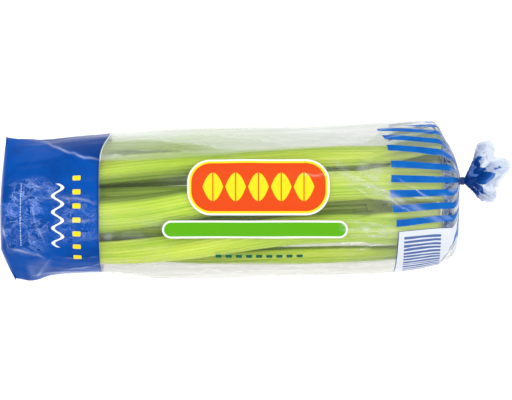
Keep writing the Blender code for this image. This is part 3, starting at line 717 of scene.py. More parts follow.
def crease_field(grid, creases):
    """Heights of the creases on the bag's upper face, and how white each point is made by them: the
    film's whitening along a crease and a painted highlight.
    """
    height, whitening_and_highlight = np.zeros(grid.shape[:2]), np.zeros(grid.shape[:2])
    upper = grid[:, :, 2] > UPPER_FACE
    seen = seen_from_above(grid)
    for number, (first, last, rise, half_width, white) in enumerate(creases):
        a, b = np.array(pixel_place(*first)), np.array(pixel_place(*last))
        along = b - a
        length = np.hypot(*along)
        along /= length
        offset = seen - a
        travelled = offset @ along
        wobble = 1.4 * lattice_noise(travelled / 13.0, travelled * 0 + number, 64, 31)
        wobble += 0.5 * lattice_noise(travelled / 4.5, travelled * 0 + number, 64, 32)
        aside = np.abs(offset @ np.array([-along[1], along[0]]) + wobble)
        ends = fade(travelled, -0.1 * length, 0.3 * length)
        ends = ends * (1 - fade(travelled, 0.7 * length, 1.1 * length)) * upper
        height += rise * np.exp(-aside / half_width) * ends
        patchy = 0.6 + 0.6 * lattice_noise(travelled / 7.0, travelled * 0 + number, 64, 33)
        line = np.exp(-((aside / (0.35 * half_width)) ** 2)) * ends
        whitening_and_highlight = np.maximum(whitening_and_highlight, white * line * np.clip(patchy, 0, 1))
    return height, whitening_and_highlight


def ridged(u, v, around, seed):
    """Noise with sharp crests, from 0 to 1."""
    return (1 - np.abs(lattice_noise(u, v, around, seed))) ** 3


def standoff(grid, stations):
    """How far each point of the film is from the nearest outer stalk, in millimetres."""
    gaps = np.zeros(grid.shape[:2])
    for i, x in enumerate(stations):
        inside = min(max(x, OUTER_START), HEAD_LENGTH)
        outlines = []
        for number in range(len(OUTER_ANGLES)):
            outline, angle, bow = outer_section(number, inside, 4, 0.0, 6)
            outlines.append(placed(outline, inside, angle, *head_envelope(inside), bow))
        skin = np.concatenate(outlines)
        across = grid[i, :, None, 1] - skin[None, :, 1]
        up = grid[i, :, None, 2] - skin[None, :, 2]
        gaps[i] = np.hypot(np.sqrt((across**2 + up**2).min(axis=1)), x - inside)
    return gaps


def contact_line(pixels, x):
    """The y of a line given by pixels of the photograph, at x."""
    places = np.array([pixel_place(*pixel) for pixel in pixels])
    return smooth_through(places[:, 0], places[:, 1], x)


# Where the film starts to look milky past a line of contact
CONTACT_EDGE = (-1.5, 2.5)

# Film that lies double by the neck: the wall at the bag's end, the folds on top of it, where they
# grow thinner, and how far they reach to the front
END_WALL = (370.0, 375.0, 385.0, 390.0)
TOP_FOLDS, TOP_FOLDS_THINNER = (372.0, 373.4), (379.6, 381.0)
FOLDS_FRONT = (-27.0, -22.0)

# Film painted dark olive at the upper corner, the celery under it in painted shade, across the bag and
# along it
OLIVE_ACROSS = (49.0, 54.0, 67.0, 71.0)
OLIVE_ALONG = (320.0, 338.0, 372.0, 375.0)

# Where the film turns milky and bluish before the neck; the bluish white there is partly a painted
# highlight
NECK_FILM = (NECK[0] - 14.0, NECK[0] - 5.0)

# The crumpled part of the band along the bag and across it, and the calmer part beside it, which gets
# fainter painted light and shade
CRUMPLE_ALONG, CRUMPLE_ACROSS = (2.0, 10.0, 28.0, 50.0), (-44.0, -28.0, 16.0, 28.0)
CALMER_ALONG, CALMER_ACROSS = (38.0, 48.0, 76.0, 84.0), (-34.0, -24.0, 4.0, 14.0)

# Where the long wrinkles and the pleats by the neck come and go
WRINKLES_ALONG = (0.0, 14.0, 356.0, 378.0)
PLEATS_ALONG = (364.0, 385.0, 386.5, 389.5)
PLEAT_COUNT, FINE_PLEAT_COUNT = 19, 41
BRIDGE_RINGS = 5


def veil(grid, gaps):
    """How milky the film looks, most where it hangs clear of the celery, and how green there."""
    x, y = np.moveaxis(seen_from_above(grid), 2, 0)
    upper = y - contact_line(UPPER_CONTACT, x)
    lower = contact_line(LOWER_CONTACT, x) - y
    beside = np.maximum(fade(upper, *CONTACT_EDGE), fade(lower, *CONTACT_EDGE))
    below = fade(-grid[:, :, 2], -30.0, -15.0) * (1 - fade(x, 362.0, 372.0))
    haze = np.maximum(beside, below) * (0.8 + 0.2 * fade(gaps, 4.0, 16.0))
    green = between(upper, 0.0, 2.0, 14.0, 27.0) * (1 - fade(x, 150.0, 270.0))
    return haze, green


def shoulder_fields(grid, along):
    """Where the film lies double by the neck, and where it is painted dark olive at the upper corner as
    celery in painted shade.
    """
    dense = between(along, *END_WALL)[:, None] * fade(-grid[:, :, 2], -74.0, -58.0)
    doubled = fade(along, *TOP_FOLDS) * (1 - 0.75 * fade(along, *TOP_FOLDS_THINNER))
    doubled *= 1 - fade(along, *END_WALL[2:])
    dense = np.maximum(dense, doubled[:, None]) * fade(grid[:, :, 1], *FOLDS_FRONT)
    across = seen_from_above(grid)[:, :, 1]
    olive_shade = between(across, *OLIVE_ACROSS) * (grid[:, :, 2] > UPPER_FACE)
    olive_shade *= between(along, *OLIVE_ALONG)[:, None]
    return dense, olive_shade


def round_bag(u, wrap, around, seed, pattern=lattice_noise):
    """A pattern of noise with that many cells round the bag."""
    return pattern(u, wrap / (GIRTH / around), around, seed)


def long_wrinkles(x, wrap):
    """Heights of the soft swells and of the fine lines of tension along the bag."""
    swell = 0.7 * round_bag(x / 61.0, wrap, 9, 1) + 0.4 * round_bag(x / 23.0, wrap, 21, 2)
    tension = 0.32 * round_bag(x / 90.0 + wrap / 60.0, wrap, 61, 3)
    tension += 0.2 * round_bag(x / 48.0 - wrap / 80.0, wrap, 40, 4, ridged)
    return between(x, *WRINKLES_ALONG) * (swell + tension)


def crumpled_band(x, y, wrap):
    """Heights of the crumpled part of the band, and how strongly painted light and shade lie on its
    print.
    """
    near_x = x + 7.0 * lattice_noise(wrap / 11.0, wrap * 0, 8, 17)
    patch = between(near_x, *CRUMPLE_ALONG) * between(y, *CRUMPLE_ACROSS)
    height = 0.9 * round_bag(x / 8.0 + wrap / 13.0, wrap, 31, 6, ridged)
    height += 0.7 * round_bag(x / 4.6 - wrap / 9.0, wrap, 61, 7, ridged)
    beside = between(x, *CALMER_ALONG) * between(y, *CALMER_ACROSS)
    mottled = 0.7 + 0.45 * round_bag(x / 9.0, wrap, 37, 16)
    return patch * height, np.maximum(patch * mottled, 0.3 * beside)


def neck_pleats(x, f):
    """Heights of the pleats by the neck, and how white their crests are: whitening and painted
    highlight.
    """
    gather = between(x, *PLEATS_ALONG)
    wander = 0.9 * lattice_noise(x / 26.0, f * 11, 11, 8)
    pleats = np.abs(np.sin(math.pi * (PLEAT_COUNT * f + 0.55 * wander))) ** 0.7
    pleats += 0.5 * np.abs(np.sin(math.pi * (FINE_PLEAT_COUNT * f - 0.8 * wander))) ** 0.8
    return gather * (pleats - 0.9) * 0.8, gather * fade(pleats, 1.25, 1.5) * 0.3


def tail_ruffles(x, f):
    """How far along the tail each point is, from 0 to 1, its ruffle's height, and the white on its
    fold crests: whitening and painted highlight.
    """
    reach = np.clip((x - NECK[0] - NECK_LENGTH) / TAIL_REACH[-1], 0, 1)
    lobes = np.cos(2 * math.pi * (23 * f + 0.6 * lattice_noise(x / 7.0, f * 9, 9, 10)))
    lobes += 0.9 * lattice_noise(x / 5.0, f * 31, 31, 11) + 0.8 * lattice_noise(x / 9.0, f * 13, 13, 9)
    folded = ridged(x / 7.0 + f * 9, f * 41, 41, 14) + 0.6 * ridged(x / 4.0 - f * 17, f * 71, 71, 15)
    height = reach**1.2 * lobes * 1.7 + reach**0.7 * (folded - 0.8) * 0.9
    return reach, height, fade(reach, 0.05, 0.3) * fade(folded, 1.1, 1.55) * 0.6


def film_rings(shape):
    """The bag's wrinkled rings, each ring's x along the bag, and the fields that its finish reads."""
    count = shape.around
    body, body_x, angles = bag_body(shape.film_step, count)
    tail, reaches = bag_tail(shape.film_step * 0.7, angles)
    grid = np.concatenate([body, joined_rings(body, tail, BRIDGE_RINGS), tail])
    bridge_x = np.linspace(body_x[-1], NECK[0], BRIDGE_RINGS + 2)[1:-1]
    along = np.concatenate([body_x, bridge_x, NECK[0] + reaches])
    x, f = np.meshgrid(along, np.arange(count) / count, indexing="ij")
    wrap = f * GIRTH
    gaps = standoff(grid, along)
    haze, green = veil(grid, gaps)
    # Milky bluish film before the neck, partly a painted highlight
    neck_milk_and_sheen = fade(x, *NECK_FILM)
    dense, olive_shade = shoulder_fields(grid, along)
    on_tail = fade(x, NECK[0] - 1.0, NECK[0] + 2.0)

    crumple, crinkle_light_and_shade = crumpled_band(x, grid[:, :, 1], wrap)
    pleats, whitening_and_highlight = neck_pleats(x, f)
    creases, whitened_and_glint = crease_field(grid, CREASES)
    height = long_wrinkles(x, wrap) + crumple + pleats + (1 - on_tail) * creases
    height *= shape.wrinkle
    height = np.where(gaps < 2.5, np.maximum(height, -0.6 * np.clip(gaps, 0, 1.5)), height)
    reach, ruffles, tail_white_and_glint = tail_ruffles(x, f)
    whitening_and_highlight = np.maximum(np.maximum(whitening_and_highlight, (1 - on_tail) * whitened_and_glint), tail_white_and_glint)

    wrinkled = grid + grid_normals(grid) * (height + ruffles)[:, :, None]
    ragged = 2.4 * lattice_noise(f * 0, f * 15, 15, 12) + 1.4 * lattice_noise(f * 0, f * 37, 37, 13)
    wrinkled[:, :, 0] += reach**2 * (ragged - 0.5)
    wrinkled[:, :, 2] = np.maximum(wrinkled[:, :, 2], 0.0)
    seen_x, seen_y = np.moveaxis(seen_from_above(grid), 2, 0)
    # Painted shade on the gusset, the sloped facet beyond the fold line by the sealed end
    gusset_painted_shade = fade(seen_y - contact_line(GUSSET_FOLD, seen_x), -0.6, 1.6) * (1 - on_tail)
    fields = {
        "haze": np.maximum(haze, neck_milk_and_sheen),
        "green": green,
        "dense": dense,
        "crinkle_light_and_shade": crinkle_light_and_shade,
        "gusset_painted_shade": gusset_painted_shade,
        "whitening_and_highlight": np.clip(whitening_and_highlight, 0, 1),
        "ruffle": reach,
        "olive_shade": olive_shade,
        "neck_milk_and_sheen": neck_milk_and_sheen,
    }
    return wrinkled, along, fields


def film_mesh(grid, along, fields):
    """The film as one sheet of quads, with its place in the print as a UV map and its fields."""
    rows, count = grid.shape[:2]
    mesh = bpy.data.meshes.new("film_bag_printed")
    i, j = np.meshgrid(np.arange(rows - 1), np.arange(count), indexing="ij")
    k = (j + 1) % count
    quads = np.stack([i * count + j, i * count + k, (i + 1) * count + k, (i + 1) * count + j], -1)
    quads = quads.reshape(-1, 4)
    mesh.vertices.add(rows * count)
    mesh.vertices.foreach_set("co", framed(grid.reshape(-1, 3)).ravel())
    mesh.loops.add(quads.size)
    mesh.loops.foreach_set("vertex_index", quads.ravel())
    mesh.polygons.add(len(quads))
    mesh.polygons.foreach_set("loop_start", np.arange(len(quads)) * 4)
    mesh.update(calc_edges=True)
    mesh.shade_smooth()
    step = GIRTH / count
    near = ((j + count // 2) % count - count // 2) * step
    place = np.stack([near, near + step, near + step, near], -1)
    ahead = np.stack([along[i], along[i], along[i + 1], along[i + 1]], -1)
    layout = mesh.uv_layers.new(name="print")
    layout.data.foreach_set("uv", np.stack([ahead, place], -1).reshape(-1))
    for name, values in fields.items():
        attribute = mesh.attributes.new(name, "FLOAT", "POINT")
        attribute.data.foreach_set("value", values.ravel())
    return mesh


# Node trees

class Tree:
    """A material's node tree, with short calls for the nodes that the finishes share."""

    def __init__(self, name):
        self.material = bpy.data.materials.new(name)
        self.material.use_nodes = True
        self.tree = self.material.node_tree
        self.surface = self.tree.nodes["Principled BSDF"]
        self.output = self.tree.nodes["Material Output"]

    def feed(self, socket, value):
        if isinstance(value, bpy.types.NodeSocket):
            self.tree.links.new(value, socket)
        elif socket.type == "RGBA":
            socket.default_value = (*value[:3], 1.0)
        else:
            socket.default_value = value

    def node(self, kind, inputs=None, **settings):
        made = self.tree.nodes.new(kind)
        for key, value in settings.items():
            setattr(made, key, value)
        for key, value in (inputs or {}).items():
            self.feed(made.inputs[key], value)
        return made

    def math(self, operation, *values, clamp=False):
        made = self.node("ShaderNodeMath", dict(enumerate(values)), operation=operation)
        made.use_clamp = clamp
        return made.outputs[0]

    def times(self, first, second):
        return self.math("MULTIPLY", first, second)

    def plus(self, first, second, clamp=False):
        return self.math("ADD", first, second, clamp=clamp)

    def less(self, first, second):
        return self.math("SUBTRACT", first, second)

    def larger(self, first, second, clamp=False):
        return self.math("MAXIMUM", first, second, clamp=clamp)

    def smaller(self, first, second):
        return self.math("MINIMUM", first, second)

    def size(self, value):
        return self.math("ABSOLUTE", value)

    def mix(self, factor, first, second, blend="MIX"):
        made = self.node("ShaderNodeMix", data_type="RGBA", blend_type=blend)
        self.feed(made.inputs[0], factor)
        self.feed(made.inputs[6], first)
        self.feed(made.inputs[7], second)
        return made.outputs[2]

    def step(self, value, start, end, low=0.0, high=1.0):
        """low before start and high after end, with a smooth rise between."""
        made = self.node(
            "ShaderNodeMapRange",
            {"Value": value, "From Min": start, "From Max": end, "To Min": low, "To Max": high},
            interpolation_type="SMOOTHSTEP",
        )
        return made.outputs[0]

    def ramp(self, factor, stops):
        made = self.node("ShaderNodeValToRGB", {"Fac": factor})
        elements = made.color_ramp.elements
        while len(elements) < len(stops):
            elements.new(0.5)
        for element, (place, colour) in zip(elements, stops):
            element.position = place
            element.color = (*colour, 1.0)
        return made.outputs[0]

    def curve(self, value, points):
        """The height at value of a smooth curve through these (place, height) points."""
        xs, ys = np.array(sorted(points)).T
        width, rise = xs[-1] - xs[0], max(ys.max() - ys.min(), 1e-6)
        share = self.math("DIVIDE", self.less(value, float(xs[0])), float(width), clamp=True)
        made = self.node("ShaderNodeFloatCurve", {"Value": share})
        line = made.mapping.curves[0]
        while len(line.points) < len(xs):
            line.points.new(0.5, 0.5)
        for point, x, y in zip(line.points, (xs - xs[0]) / width, (ys - ys.min()) / rise):
            point.location = (float(x), float(y))
        made.mapping.update()
        return self.math("MULTIPLY_ADD", made.outputs[0], float(rise), float(ys.min()))

    def noise(self, vector, scale, detail=3.0, roughness=0.5):
        made = self.node(
            "ShaderNodeTexNoise",
            {"Vector": vector, "Scale": scale, "Detail": detail, "Roughness": roughness},
        )
        return made.outputs[0]

    def place(self):
        return self.node("ShaderNodeTexCoord").outputs["Object"]

    def stretched(self, vector, scale):
        return self.node("ShaderNodeMapping", {"Vector": vector, "Scale": scale}).outputs[0]

    def attribute(self, name):
        return self.node("ShaderNodeAttribute", attribute_name=name).outputs["Fac"]

    def bump(self, height, strength, distance, normal=None):
        inputs = {"Height": height, "Strength": strength, "Distance": distance}
        if normal is not None:
            inputs["Normal"] = normal
        return self.node("ShaderNodeBump", inputs).outputs[0]

    def set(self, **values):
        for key, value in values.items():
            self.feed(self.surface.inputs[key.replace("_", " ")], value)


# What darkens the celery's base colour: deeper bands, its fibres, a flank's painted shade, and the
# painted shade on the inner stalks with the metres past the root end at which that starts to fade and
# has faded
DEEP_TINT = (0.66, 0.82, 0.3)
FIBRE_TINTS = ((0.34, (0.78, 0.85, 0.45)), (0.5, (1.0, 1.0, 1.0)), (0.68, (1.2, 1.1, 1.9)))
FLANK_PAINTED_SHADE = (0.34, 0.39, 0.34)
INNER_PAINTED_SHADE, INNER_FADES = (0.4, 0.48, 0.3), (0.15, 0.3)

# How far before the head's end a stalk's face counts as cut, in metres
CUT_FROM, CUT_TO = 0.0032, 0.0024


def celery_finish(name, colours, skin=False, paleness=0.0, shaded=False):
    """Ribbed green flesh: fibres along the stalk, paler near the root, waxy, a little translucent.

    skin makes the fibres follow an outer stalk's skin and lays painted shade on its flanks, and shaded
    darkens a stalk near the root with painted shade."""
    tree = Tree(name)
    place = tree.place()
    x = tree.node("ShaderNodeSeparateXYZ", {0: place}).outputs[0]
    root, top = ORIGIN[0], ORIGIN[0] + HEAD_LENGTH * MM
    along = tree.node("ShaderNodeAttribute", attribute_name="skin").outputs["Vector"] if skin else place
    fibres = tree.noise(tree.stretched(along, (7.0, 560.0, 300.0)), 1.0, 4.0, 0.65)
    bands = tree.noise(tree.stretched(along, (5.0, 150.0, 90.0)), 1.0, 2.0, 0.5)
    broad = tree.noise(tree.stretched(along, (4.0, 46.0, 46.0)), 1.0, 2.0, 0.5)
    blotches = tree.noise(tree.stretched(place, (22.0, 40.0, 40.0)), 1.0, 3.0, 0.6)
    ageing = tree.step(x, root + 0.01, top)
    base = tree.ramp(ageing, ((0.0, colours.root), (0.3, colours.flesh), (1.0, colours.top)))
    deep = tree.mix(1.0, base, DEEP_TINT, "MULTIPLY")
    mixed = tree.mix(tree.step(bands, 0.36, 0.66, 0.75, 0.0), base, deep)
    mixed = tree.mix(tree.step(broad, 0.45, 0.75, 0.0, 0.55), mixed, colours.blush)
    mixed = tree.mix(1.0, mixed, tree.ramp(fibres, FIBRE_TINTS), "MULTIPLY")
    mixed = tree.mix(tree.step(blotches, 0.55, 0.75, 0.0, 0.3), mixed, colours.root)
    mixed = tree.mix(paleness, mixed, colours.root) if paleness else mixed
    if shaded:
        # Painted shade on the inner stalks near the root, deep in the head between the outer stalks
        root_painted_shade = tree.step(x, root + INNER_FADES[0], root + INNER_FADES[1], 0.75, 0.2)
        mixed = tree.mix(root_painted_shade, mixed, INNER_PAINTED_SHADE, "MULTIPLY")
    if skin:
        # Painted shade on the flanks, where they turn into the valleys between the outer stalks
        mixed = tree.mix(tree.attribute("shade"), mixed, FLANK_PAINTED_SHADE, "MULTIPLY")
    cut = tree.step(x, top - CUT_FROM, top - CUT_TO)
    normal = tree.node("ShaderNodeNewGeometry").outputs["Normal"]
    facing = tree.node("ShaderNodeSeparateXYZ", {0: normal}).outputs[0]
    cut = tree.times(cut, tree.step(facing, 0.7, 0.9))
    pith = tree.noise(tree.stretched(place, (60.0, 700.0, 700.0)), 1.0, 2.0)
    flesh = tree.ramp(pith, ((0.4, colours.cut), (0.62, colours.flesh)))
    tree.set(
        Base_Color=tree.mix(cut, mixed, flesh),
        Roughness=tree.step(bands, 0.3, 0.7, 0.34, 0.5),
        Subsurface_Weight=0.25,
        Subsurface_Radius=(0.006, 0.008, 0.002),
        Subsurface_Scale=0.6,
        Coat_Weight=0.15,
        Coat_Roughness=0.25,
        Normal=tree.bump(tree.plus(fibres, bands), 0.35, 0.0006),
    )
    return tree.material


def butt_finish(colours):
    """The pale cut stem: growth rings and brown specks on its face, green at its rim."""
    tree = Tree("celery_butt")
    place = tree.place()
    specks = tree.noise(place, 260.0, 3.0)
    patches = tree.noise(place, 55.0, 2.0)
    pale = tree.ramp(patches, ((0.35, colours.root), (0.7, colours.cut)))
    brown = tree.step(specks, 0.6, 0.72, 0.0, 0.45)
    tree.set(
        Base_Color=tree.mix(brown, pale, (0.32, 0.2, 0.07)),
        Roughness=tree.step(patches, 0.3, 0.7, 0.45, 0.65),
        Subsurface_Weight=0.2,
        Subsurface_Radius=(0.006, 0.006, 0.003),
        Subsurface_Scale=0.6,
        Normal=tree.bump(specks, 0.4, 0.0006),
    )
    return tree.material


def rounded_box(tree, along, wrap, centre, half, corner):
    """Distance outside a rounded rectangle of the print, in millimetres; negative inside."""
    across = tree.size(tree.less(along, centre[0]))
    down = tree.size(tree.less(wrap, centre[1]))
    across = tree.less(across, half[0] - corner)
    down = tree.less(down, half[1] - corner)
    outside_x, outside_y = tree.larger(across, 0.0), tree.larger(down, 0.0)
    squares = tree.plus(tree.math("POWER", outside_x, 2.0), tree.math("POWER", outside_y, 2.0))
    inside = tree.smaller(tree.larger(across, down), 0.0)
    return tree.less(tree.plus(tree.math("SQRT", squares), inside), corner)


def within(tree, distance, edge=0.0, soft=0.18):
    """1 where distance is under edge and 0 beyond, with a fine soft border."""
    return tree.step(distance, edge - soft, edge + soft, 1.0, 0.0)


def repeated(tree, value, start, pitch):
    """Place within a cell of that pitch, from minus half to plus half of it."""
    moved = tree.less(value, start - pitch / 2)
    return tree.less(tree.math("WRAP", moved, pitch, 0.0), pitch / 2)


class Print:
    """The bag's print: layers of ink, each over the last, and the places that they are laid at.

    colour is the colour so far, at first the film's, and cover how much of the film is inked.
    along and wrap are the place in the print, and on_film gives it for a pixel of the photograph."""

    def __init__(self, tree, layout, inks, on_film):
        apart = tree.node("ShaderNodeSeparateXYZ", {0: layout})
        self.tree, self.layout, self.inks, self.on_film = tree, layout, inks, on_film
        self.along, self.wrap = apart.outputs[0], apart.outputs[1]
        self.colour = self.cover = None

    def lay(self, mask, colour):
        self.colour = self.tree.mix(mask, self.colour, colour)
        self.cover = mask if self.cover is None else self.tree.larger(self.cover, mask)

    def spot(self, rect):
        """The middle and the half size, in the print, of a rectangle of the photograph's pixels."""
        (left, top), (right, bottom) = self.on_film(*rect[:2]), self.on_film(*rect[2:])
        return ((left + right) / 2, (top + bottom) / 2), (abs(right - left) / 2, abs(bottom - top) / 2)

    def box(self, centre, half, corner):
        return rounded_box(self.tree, self.along, self.wrap, centre, half, corner)


def film_finish(inks, look, on_film):
    """Clear film with its print: milky where it stands off the celery, white along creases as whitening
    and painted highlight, with painted light and shade on its crumpled and folded parts.
    """
    tree = Tree("film_printed")
    layout = tree.node("ShaderNodeUVMap", uv_map="print").outputs[0]
    fields = ("haze", "whitening_and_highlight", "ruffle", "green", "dense", "crinkle_light_and_shade", "gusset_painted_shade", "olive_shade", "neck_milk_and_sheen")
    at = {name: tree.attribute(name) for name in fields}
    place = tree.place()
    streaks = tree.noise(tree.stretched(place, (9.0, 130.0, 130.0)), 1.0, 4.0, 0.6)
    cloud = tree.noise(tree.stretched(place, (16.0, 34.0, 34.0)), 1.0, 3.0, 0.6)
    printed = Print(tree, layout, inks, on_film)
    printed.colour = film_colour(tree, look, at, streaks, cloud, printed.wrap)
    lay_folds(printed, look, at, streaks)
    band = crinkled(tree, layout, at["crinkle_light_and_shade"], inks)
    # The gusset's painted shade: navy laid over the band
    lay_band(printed, tree.mix(tree.times(at["gusset_painted_shade"], 0.7), band, inks.navy_and_shade))
    lay_stripes(printed)
    lay_panel(printed)
    lay_plaque(printed)
    lay_small_marks(printed)
    rub = tree.step(tree.noise(place, 900.0, 2.0), 0.3, 0.45, 0.98, 1.0)
    ink = tree.times(tree.times(printed.cover, rub), tree.step(at["ruffle"], 0.3, 0.75, 1.0, 0.85))
    clear = film_cover(tree, look, at, streaks, cloud, printed.along)
    alpha = tree.larger(clear, tree.times(ink, look.ink_cover), clamp=True)
    # Whitening along creases, pleats and tail folds, partly a painted highlight
    whitened_and_glint = tree.times(at["whitening_and_highlight"], tree.step(streaks, 0.35, 0.6, 0.5, 0.9))
    ripples = tree.noise(tree.stretched(place, (60.0, 240.0, 240.0)), 1.0, 3.0)
    tree.set(
        Base_Color=tree.mix(whitened_and_glint, printed.colour, look.crease_white_and_highlight),
        Roughness=tree.step(cloud, 0.3, 0.7, 0.1, 0.2),
        Specular_IOR_Level=tree.step(ink, 0.2, 0.8, 0.22, 0.03),
        Normal=tree.bump(ripples, 0.14, 0.0012),
    )
    clear_shader = tree.node("ShaderNodeBsdfTransparent")
    mixed = tree.node("ShaderNodeMixShader", {0: alpha, 1: clear_shader.outputs[0]})
    tree.tree.links.new(tree.surface.outputs[0], mixed.inputs[2])
    tree.tree.links.new(mixed.outputs[0], tree.output.inputs["Surface"])
    return tree.material


def film_colour(tree, look, at, streaks, cloud, wrap):
    """The colour of milky film: streaked, green close beside the celery, bluish on the tail and just
    before the neck, where it is partly a painted highlight.
    """
    film = tree.mix(tree.step(streaks, 0.35, 0.65), look.film_dark, look.film_light)
    greenish = tree.times(at["green"], tree.step(cloud, 0.35, 0.6, 0.9, 0.5))
    film = tree.mix(greenish, film, look.film_green)
    film = tree.mix(tree.step(wrap, 45.0, 62.0, 0.0, 0.7), film, look.film_lilac)
    return tree.mix(tree.times(at["neck_milk_and_sheen"], 0.85), film, look.film_tail_and_sheen)


def film_cover(tree, look, at, streaks, cloud, along):
    """How much the film without ink covers: clear on the celery, milky beside it, more at grazing
    angles as a painted reflection, and white along creases as whitening and painted highlight.
    """
    milk = tree.times(at["haze"], tree.step(streaks, 0.3, 0.7, look.haze * 0.82, look.haze * 1.15))
    near_neck = tree.times(at["neck_milk_and_sheen"], tree.step(at["ruffle"], 0.0, 0.1, 1.35, 0.9))
    milk = tree.times(milk, tree.larger(near_neck, tree.less(1.0, at["neck_milk_and_sheen"])))
    patches = tree.times(tree.step(cloud, 0.52, 0.72), tree.step(streaks, 0.4, 0.62, 0.3, 1.0))
    patches = tree.times(patches, tree.step(along, 150.0, 290.0, 0.25, 1.0))
    clear = tree.step(along, 270.0, 340.0, look.clear, look.clear_top)
    clear = tree.larger(tree.math("MULTIPLY_ADD", patches, look.patches, clear), milk)
    # Painted reflection: the film covers more, so looks whiter, where it is seen at a grazing angle
    facing = tree.node("ShaderNodeLayerWeight", {"Blend": 0.25}).outputs["Facing"]
    clear = tree.plus(clear, tree.times(tree.math("POWER", facing, 3.0), 0.25))
    return tree.plus(clear, tree.times(at["whitening_and_highlight"], 0.7), clamp=True)


def lay_folds(printed, look, at, streaks):
    """Film that lies double by the neck, in dark facets with painted light on the lighter ones and
    painted highlights along their borders, and the olive film at the upper corner in painted shade.
    """
    tree, inks = printed.tree, printed.inks
    tone, border = crumpled_cells(tree, printed.layout, 0.2, (0.2, 0.12, 1.0))
    # Painted light on the lighter facets, painted highlights along their borders
    folded = tree.mix(tree.step(tone, 0.4, 0.9, 0.0, 0.6), inks.dense, inks.fold_painted_light)
    folded = tree.mix(tree.step(border, 0.0, 0.08, 0.4, 0.0), folded, look.film_tail_and_sheen)
    printed.lay(tree.times(at["dense"], tree.step(tone, 0.3, 0.9, 1.0, 0.86)), folded)
    # Painted shade: dark olive film for the celery under it
    printed.lay(tree.times(at["olive_shade"], tree.step(streaks, 0.35, 0.6, 0.5, 0.85)), look.film_olive_shade)


def crumpled_cells(tree, layout, turn, scale):
    """Uneven facets of the print: a tone from 0 to 1 for each, and the distance to its border."""
    bends = tree.node("ShaderNodeTexNoise", {"Vector": layout, "Scale": 0.11, "Detail": 3.0})
    bends = {0: bends.outputs["Color"], 1: (16.0, 16.0, 0.0), 2: layout}
    bent = tree.node("ShaderNodeVectorMath", bends, operation="MULTIPLY_ADD").outputs[0]
    settings = {"Vector": bent, "Rotation": (0.0, 0.0, turn), "Scale": scale}
    settings = {"Vector": tree.node("ShaderNodeMapping", settings).outputs[0], "Scale": 1.0}
    cells, border = (
        tree.node("ShaderNodeTexVoronoi", settings, feature=feature, voronoi_dimensions="2D")
        for feature in ("F1", "DISTANCE_TO_EDGE")
    )
    tone = tree.node("ShaderNodeSeparateColor", {0: cells.outputs["Color"]}).outputs[0]
    return tone, border.outputs["Distance"]


def crinkled(tree, layout, where, inks):
    """The band's blue, with painted light and shade where the film is crumpled: lighter and darker
    facets, and painted highlights along their ridges.
    """
    patchy = tree.noise(layout, 0.06, 2.0)
    uneven = tree.times(where, tree.step(patchy, 0.38, 0.58, 0.35, 1.0))
    cloudy = tree.step(tree.noise(layout, 0.03, 3.0, 0.6), 0.42, 0.66, 0.0, 0.4)
    colour = tree.mix(cloudy, inks.blue, inks.navy_and_shade)
    for turn, scale, lit in ((0.7, (0.09, 0.2, 1.0), 0.75), (-0.5, (0.22, 0.4, 1.0), 0.85)):
        # Painted light on the lighter facets, painted shade on the darker ones, painted highlights on
        # ridges
        tone, border = crumpled_cells(tree, layout, turn, scale)
        light = tree.times(uneven, tree.step(tone, 0.45, 0.95, 0.0, lit))
        colour = tree.mix(light, colour, inks.violet_painted_light)
        dark = tree.times(uneven, tree.step(tone, 0.1, 0.3, 0.45, 0.0))
        colour = tree.mix(dark, colour, inks.navy_and_shade)
        ridge = tree.times(tree.step(border, 0.0, 0.08, 1.0, 0.0), tree.step(tone, 0.3, 0.75, 0.2, 1.0))
        colour = tree.mix(tree.times(uneven, ridge), colour, inks.lavender_highlight)
    return colour


# Places of the print, as pixels of the photograph: rectangles are left, top, right, bottom.
# The band's edge, and the two ends of its slanted part at the fold
BAND_EDGE_PIXEL = (98.5, 200.0)
BAND_SLANT_FROM, BAND_SLANT_TO = (98.0, 160.0), (110.0, 135.0)

# The stripes: how many go round the bag, a pixel on the middle one, and where each starts
STRIPE_COUNT = 29
STRIPE_PIXEL = (420.0, 179.0)
STRIPE_STARTS = (
    (426.0, 123.0),
    (377.0, 129.0),
    (384.5, 139.0),
    (388.5, 149.5),
    (391.0, 163.5),
    (391.0, 179.0),
    (390.0, 193.5),
    (392.0, 207.5),
    (396.0, 222.5),
    (397.0, 228.0),
    (449.0, 231.5),
)

# Two more starts: on the underside, round from the first one and nearer the neck than the second,
# and at the front, round from the last one and just before the neck
UNDER_START_ROUND, UNDER_START_AHEAD = 25.0, 12.0
FRONT_START_ROUND, FRONT_START_BACK = 16.0, 4.0

# The stripes draw closer along the bag, and the upper ones stand further off: by how much, and
# between how many pitches above the middle one. They end in torn edges beyond the neck.
STRIPES_CLOSE_FROM, STRIPES_CLOSE_TO, STRIPES_CLOSER = 325.0, 382.0, 1.13
STRIPES_WIDER, WIDER_FROM, WIDER_TO = 3.2, 1.3, 2.0
STRIPES_PAST_NECK, STRIPES_TORN, STRIPES_UNEVEN = 25.0, 34.0, 26.0

# The blue corner beyond the panel
CORNER_TOP_LEFT, CORNER_LOW = (446.0, 229.0), (452.0, 245.0)

# The panel with its bars: how far its sides lean and its lines rise, as slopes
PANEL_RECT = (397.5, 230.0, 446.0, 268.0)
PANEL_LEAN_LEFT, PANEL_LEAN_RIGHT = 0.04, 0.34
PANEL_RISE = 0.075
BARS_RECT = (404.5, 235.0, 438.0, 265.0)
BAR_COUNT = 13

